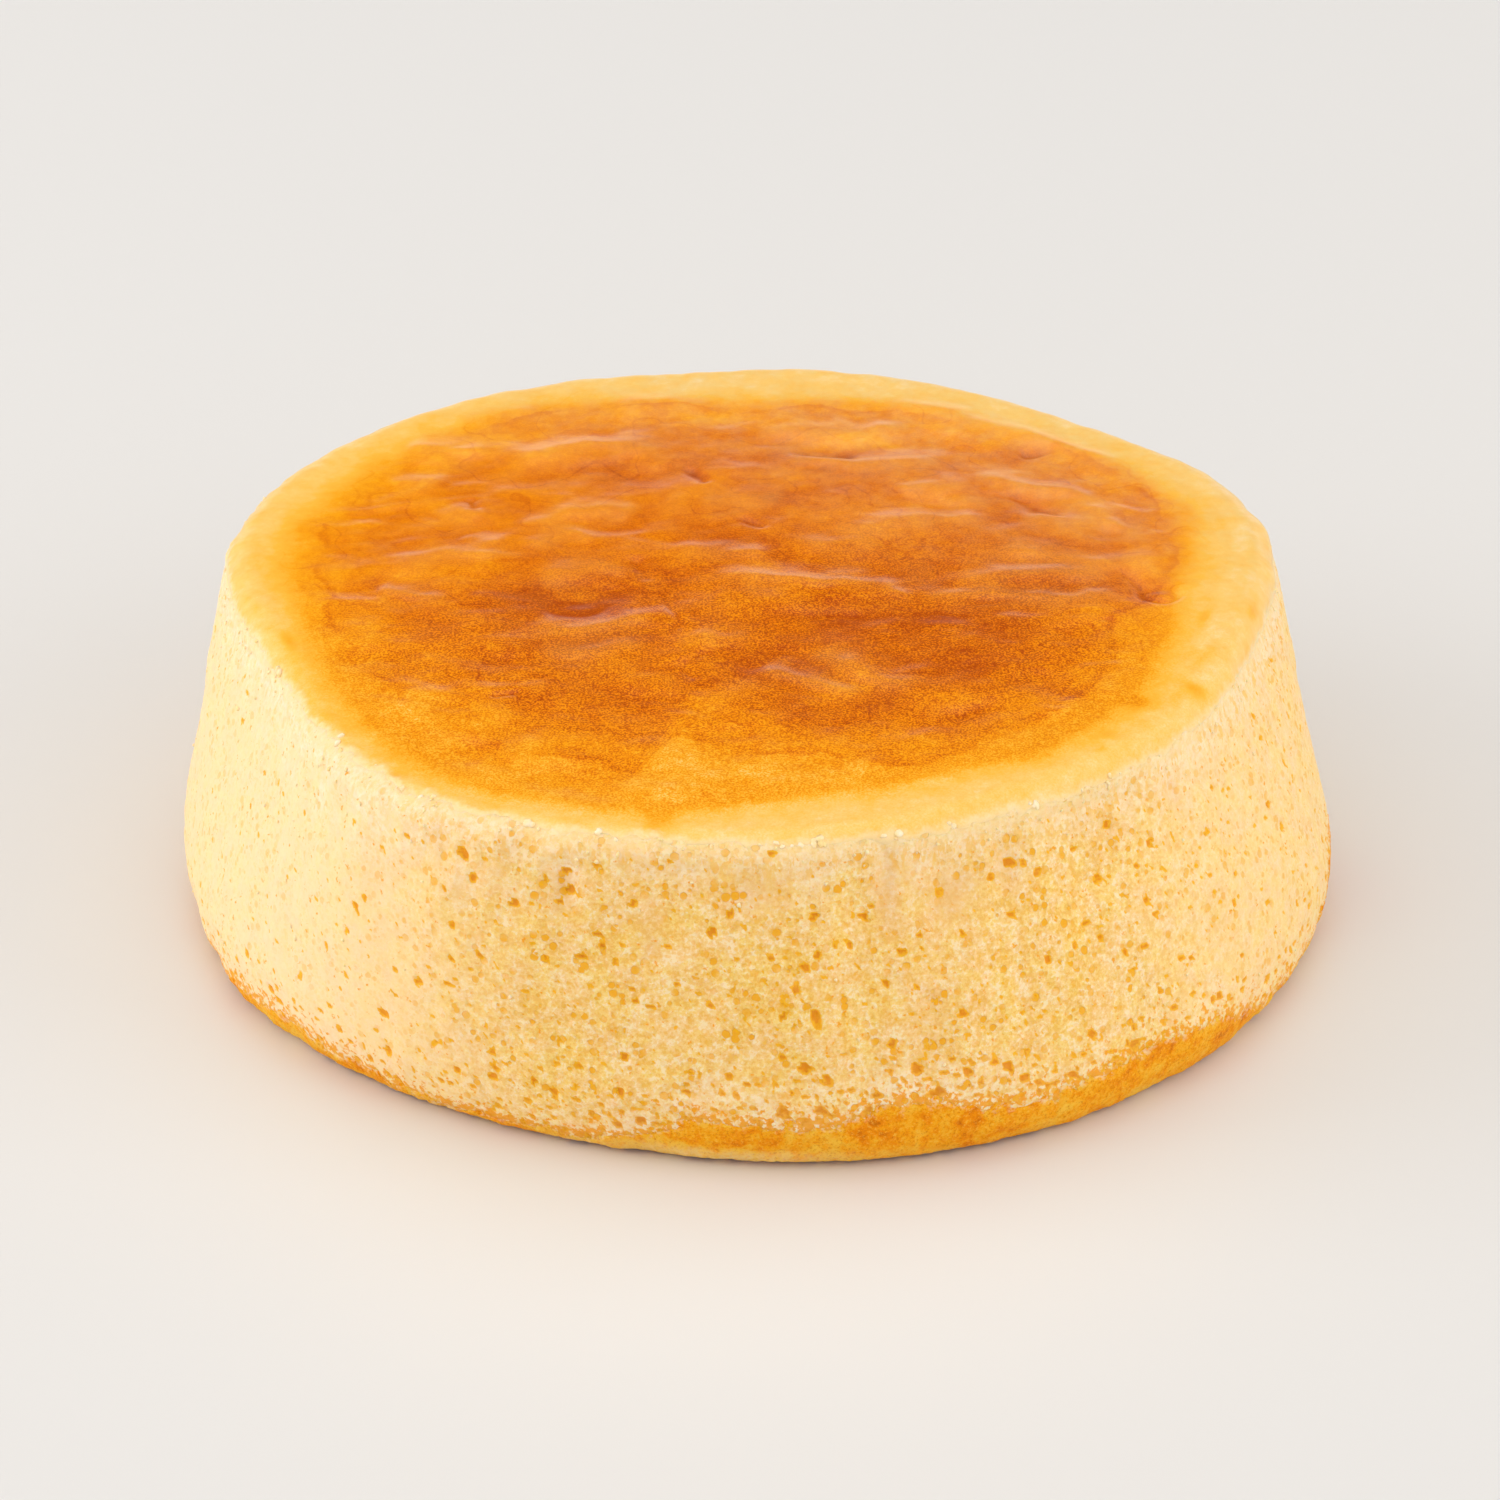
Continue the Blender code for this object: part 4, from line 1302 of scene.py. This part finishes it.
def sponge_look():
    """Pale moist sponge: fine mottled foam, whitish lace and many amber pores."""
    material, tree, surface = new_material("sponge_look")
    pale = attribute(tree, "pale")
    middling = minus(tree, grains(tree, 1.9 * MM, 2.0, 0.6, offset=0.9), 0.5)
    mottle = plus(tree, grains(tree, 0.55 * MM, 3.0, 0.7, offset=0.2), times(tree, middling, 0.8))
    colour = laced(tree, foam_colour(tree, pale, mottle), pale)
    colour, pits = pitted(tree, colour, pale)
    colour = pored(tree, edged(tree, colour))
    height = minus(tree, times(tree, mottle, 0.8), pits)
    height = times(tree, height, graded(tree, pale, 0.0, 1.0, 1.0, 0.3))
    normal = bumps(tree, height, 0.18 * MM, 0.8)
    feed(tree, surface, Base_Color=colour, Normal=normal, Roughness=0.62, IOR=FOOD_IOR,
         Specular_IOR_Level=0.2, Subsurface_Weight=0.3, Subsurface_Scale=0.0015,
         Subsurface_Radius=FOAM_GLOW)
    return material


def tide(tree, inside, start, fade, height):
    """A tide mark: a step up in tone at a distance inside the browned zone, fading inward."""
    step = graded(tree, inside, start - 0.35, start + 0.25)
    falling = graded(tree, inside, start + 0.2, start + fade, 1.0, 0.0)
    return times(tree, times(tree, step, falling), height)


def tide_marks(tree, inside, browned):
    """Wandering, broken tide marks along the amber and the brown edge."""
    winding = minus(tree, grains(tree, 9.0 * MM, 4.0, 0.6, offset=0.8), 0.5)
    bent = plus(tree, inside, times(tree, winding, 5.0))
    turned = plus(tree, browned, times(tree, winding, 6.0))
    marks = plus(tree, tide(tree, bent, 0.2, 2.5, 0.03), tide(tree, turned, 0.2, 2.0, 0.15))
    marks = plus(tree, marks, tide(tree, turned, 8.0, 4.0, 0.08))
    broken = graded(tree, grains(tree, 12.0 * MM, 1.0, 0.5, offset=0.1), 0.40, 0.58)
    return times(tree, marks, broken)


def stippling(tree, tone, zone):
    """Fine grain, stronger where the skin is darker."""
    stipple = graded(tree, grains(tree, 0.35 * MM, 2.0, 0.7), 0.36, 0.66, -0.7, 1.0)
    stipple = times(tree, stipple, attribute(tree, "crisp"))
    dark = graded(tree, tone, 0.25, 0.60, 0.20, 0.30)
    return times(tree, times(tree, stipple, zone), dark)


SKIN_COLOURS = (
    (0.00, (0.98, 0.68, 0.30)),
    (0.05, (0.97, 0.60, 0.16)),
    (0.14, (0.97, 0.50, 0.050)),
    (0.30, (0.96, 0.375, 0.006)),
    (0.50, (0.85, 0.255, 0.001)),
    (0.70, (0.72, 0.165, 0.001)),
    (0.86, (0.57, 0.105, 0.001)),
    (1.00, (0.42, 0.060, 0.001)),
)


def browning(tree):
    """How brown the skin is in all: its tone, stipple, mottling, tide marks and veins."""
    tone = attribute(tree, "tone")
    inside = attribute(tree, "inside")
    zone = graded(tree, inside, -4.0, 3.0, 0.12, 1.0)
    total = plus(tree, tone, stippling(tree, tone, zone))
    mottle = minus(tree, grains(tree, 1.6 * MM, 3.0, 0.6, offset=0.3), 0.5)
    total = plus(tree, total, times(tree, mottle, graded(tree, inside, -4.0, 6.0, 0.12, 0.42)))
    total = plus(tree, total, tide_marks(tree, inside, attribute(tree, "browned")))
    line = graded(tree, calc(tree, "ABSOLUTE", attribute(tree, "vein"), 0.0), 0.03, 0.0)
    return plus(tree, total, times(tree, times(tree, line, zone), 0.10))


def skin_look():
    """Satin browned skin: pale yellow rim, amber with tide marks, stippled brown, with painted
    sheen on the crests and over the back.
    """
    material, tree, surface = new_material("skin_look")
    colour = ramp(tree, browning(tree), SKIN_COLOURS)
    # Painted sheen: the crests are painted paler, where light gleams on them.
    crest_sheen = graded(tree, attribute(tree, "crest_sheen"), 0.15, 1.0)
    colour = paint(tree, colour, crest_sheen, 0.20, (0.92, 0.46, 0.10))
    # Painted sheen: a greyish glaze over the back of the top.
    back_sheen = graded(tree, grains(tree, 4.0 * MM, 3.0, 0.6, offset=0.45), 0.35, 0.65, 0.05, 0.14)
    colour = paint(tree, colour, back_sheen, attribute(tree, "back_sheen"), (0.66, 0.56, 0.38))
    fray = minus(tree, grains(tree, 0.9 * MM, 3.0, 0.6, offset=0.6), 0.5)
    torn = plus(tree, attribute(tree, "hem"), times(tree, fray, 0.9))
    colour = blend(tree, graded(tree, torn, 0.25, 1.05, 0.0, 0.9), colour, (0.99, 0.74, 0.40))
    normal = bumps(tree, grains(tree, 0.7 * MM, 2.0, 0.6), 0.03 * MM, 0.6)
    feed(tree, surface, Base_Color=colour, Normal=normal, Roughness=0.28, IOR=FOOD_IOR,
         Specular_IOR_Level=0.19, Subsurface_Weight=0.12, Subsurface_Scale=0.0012,
         Subsurface_Radius=CRUST_GLOW)
    return material


def bead_look():
    """Wet, glossy, pale yellow."""
    material, tree, surface = new_material("bead_look")
    clouds = grains(tree, 1.5 * MM, 2.0, 0.5)
    colour = ramp(tree, clouds, ((0.35, (0.99, 0.72, 0.30)), (0.65, (1.0, 0.84, 0.58))))
    feed(tree, surface, Base_Color=colour, Roughness=0.12, IOR=FOOD_IOR, Specular_IOR_Level=0.5,
         Subsurface_Weight=0.05, Subsurface_Scale=0.0005, Subsurface_Radius=FOAM_GLOW)
    return material


def fleck_look():
    """Whitish cream foam."""
    material, tree, surface = new_material("fleck_look")
    clouds = grains(tree, 0.8 * MM, 2.0, 0.5)
    colour = ramp(tree, clouds, ((0.35, (0.98, 0.68, 0.30)), (0.6, (1.0, 0.80, 0.50))))
    feed(tree, surface, Base_Color=colour, Roughness=0.7, IOR=FOOD_IOR, Specular_IOR_Level=0.05,
         Subsurface_Weight=0.3, Subsurface_Scale=0.001, Subsurface_Radius=FOAM_GLOW)
    return material


CRUST_COLOURS = (
    (0.00, (0.98, 0.55, 0.05)),
    (0.35, (0.97, 0.40, 0.006)),
    (0.65, (0.90, 0.28, 0.001)),
    (0.90, (0.62, 0.15, 0.001)),
    (1.00, (0.36, 0.10, 0.008)),
)


def crust_look():
    """Golden, granular foot crust, lacy along its upper edge and creamy near its foot."""
    material, tree, surface = new_material("crust_look")
    grain = grains(tree, 0.5 * MM, 3.0, 0.8)
    clumps = minus(tree, grains(tree, 1.7 * MM, 3.0, 0.6, offset=0.4), 0.5)
    total = plus(tree, attribute(tree, "tone"), times(tree, clumps, 1.5))
    colour = ramp(tree, total, CRUST_COLOURS)
    colour = paint(tree, colour, graded(tree, grain, 0.53, 0.66), 0.65, (1.0, 0.58, 0.08))
    colour = paint(tree, colour, graded(tree, grain, 0.47, 0.36), 0.60, (0.68, 0.19, 0.002))
    patchy = graded(tree, grains(tree, 1.3 * MM, 3.0, 0.7, offset=0.15), 0.36, 0.60, 0.35, 1.0)
    colour = paint(tree, colour, attribute(tree, "cream"), patchy, (0.97, 0.72, 0.33))
    lace = graded(tree, grains(tree, 0.9 * MM, 3.0, 0.65, offset=0.5), 0.46, 0.60)
    lacy = graded(tree, attribute(tree, "lacy"), 0.3, 1.0, 0.0, 0.6)
    colour = paint(tree, colour, lacy, lace, (1.0, 0.80, 0.55))
    normal = bumps(tree, grain, 0.3 * MM, 0.8)
    feed(tree, surface, Base_Color=colour, Normal=normal, Roughness=0.55, IOR=FOOD_IOR,
         Specular_IOR_Level=0.1, Subsurface_Weight=0.15, Subsurface_Scale=0.001,
         Subsurface_Radius=CRUST_GLOW)
    return material


# ---------------------------------------------------------------- stage

FLOOR_COLOR = (0.785, 0.765, 0.745, 1.0)
FLOOR_SIZE = 6.0
FLOOR_ROUGHNESS = 0.50
LIT_POINT = (0.0, 0.0, 0.03)
LIGHT_COLOR = (1.0, 0.99, 0.97)
SKY_COLOR = (1.0, 0.99, 0.975, 1.0)
SKY_STRENGTH = 0.90
SKY_DIM_STRENGTH = 0.03

# Soft lights: name, place and size in metres, power in watts.
LIGHTS = (
    ("left", (-1.15, -0.05, 0.45), (0.8, 0.8), 5.2),
    ("right", (1.10, -0.40, 0.60), (0.9, 0.9), 3.6),
    ("above", (0.00, 0.45, 1.30), (1.2, 1.2), 2.75),
    ("backdrop", (0.00, 2.00, 0.22), (2.2, 0.45), 1.5),
)


def stage():
    """A plain pale floor."""
    bpy.ops.mesh.primitive_plane_add(size=FLOOR_SIZE, location=(0.0, 0.0, 0.0))
    floor = bpy.context.object
    floor.name = "floor"
    material, tree, surface = new_material("floor")
    feed(tree, surface, Base_Color=FLOOR_COLOR, Roughness=FLOOR_ROUGHNESS)
    floor.data.materials.append(material)


def area_light(name, place_at, size, power):
    """A soft rectangular light that faces the cake."""
    lamp = bpy.data.lights.new(name, "AREA")
    lamp.shape = "RECTANGLE"
    lamp.size, lamp.size_y = size
    lamp.energy = power
    lamp.color = LIGHT_COLOR
    holder = bpy.data.objects.new(name, lamp)
    holder.location = place_at
    direction = np.array(LIT_POINT) - np.array(place_at)
    flat = math.hypot(direction[0], direction[1])
    tilt = math.atan2(flat, -direction[2])
    turn = math.atan2(direction[1], direction[0]) - 0.5 * math.pi
    holder.rotation_euler = (tilt, 0.0, turn)
    bpy.context.scene.collection.objects.link(holder)


def sky():
    """Even light from all round, dimmer from high at the back."""
    world = bpy.data.worlds.new("studio")
    world.use_nodes = True
    tree = world.node_tree
    back = tree.nodes["Background"]
    back.inputs["Color"].default_value = SKY_COLOR
    where = add_node(tree, "ShaderNodeTexCoord", {}).outputs["Generated"]
    split = add_node(tree, "ShaderNodeSeparateXYZ", {"Vector": where})
    high = graded(tree, split.outputs["Z"], 0.08, 0.34)
    behind = graded(tree, split.outputs["Y"], 0.45, 0.80)
    strength = graded(tree, times(tree, high, behind), 0.0, 1.0, SKY_STRENGTH, SKY_DIM_STRENGTH)
    tree.links.new(strength, back.inputs["Strength"])
    bpy.context.scene.world = world


def lights():
    """Bright, even studio light from both sides, with a low bright backdrop."""
    for name, place_at, size, power in LIGHTS:
        area_light(name, place_at, size, power)
    sky()


CAMERA_PLACE = (-0.0010, -1.0956, 0.6224)
CAMERA_DOWN = 28.631
CAMERA_LENS = 188.45
CAMERA_SENSOR = 36.0


def camera():
    """Look down on the front of the cake through a long lens."""
    lens = bpy.data.cameras.new("camera")
    lens.sensor_width = CAMERA_SENSOR
    lens.lens = CAMERA_LENS
    holder = bpy.data.objects.new("camera", lens)
    holder.location = CAMERA_PLACE
    holder.rotation_euler = (math.radians(90.0 - CAMERA_DOWN), 0.0, 0.0)
    bpy.context.scene.collection.objects.link(holder)
    bpy.context.scene.camera = holder


# ---------------------------------------------------------------- the scene

def adopt(piece, look):
    """Give a piece its material and make it part of the cake."""
    piece.data.materials.append(look)
    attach(piece, "root")
    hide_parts(NODE)


bpy.context.scene.view_settings.view_transform = "Standard"
camera()
lights()
stage()
body = sponge_body()
skin = top_skin()
crust = foot_crust()
adopt(body, sponge_look())
adopt(skin, skin_look())
adopt(crust, crust_look())
adopt(wet_beads(skin), bead_look())
adopt(sponge_flecks(body), fleck_look())
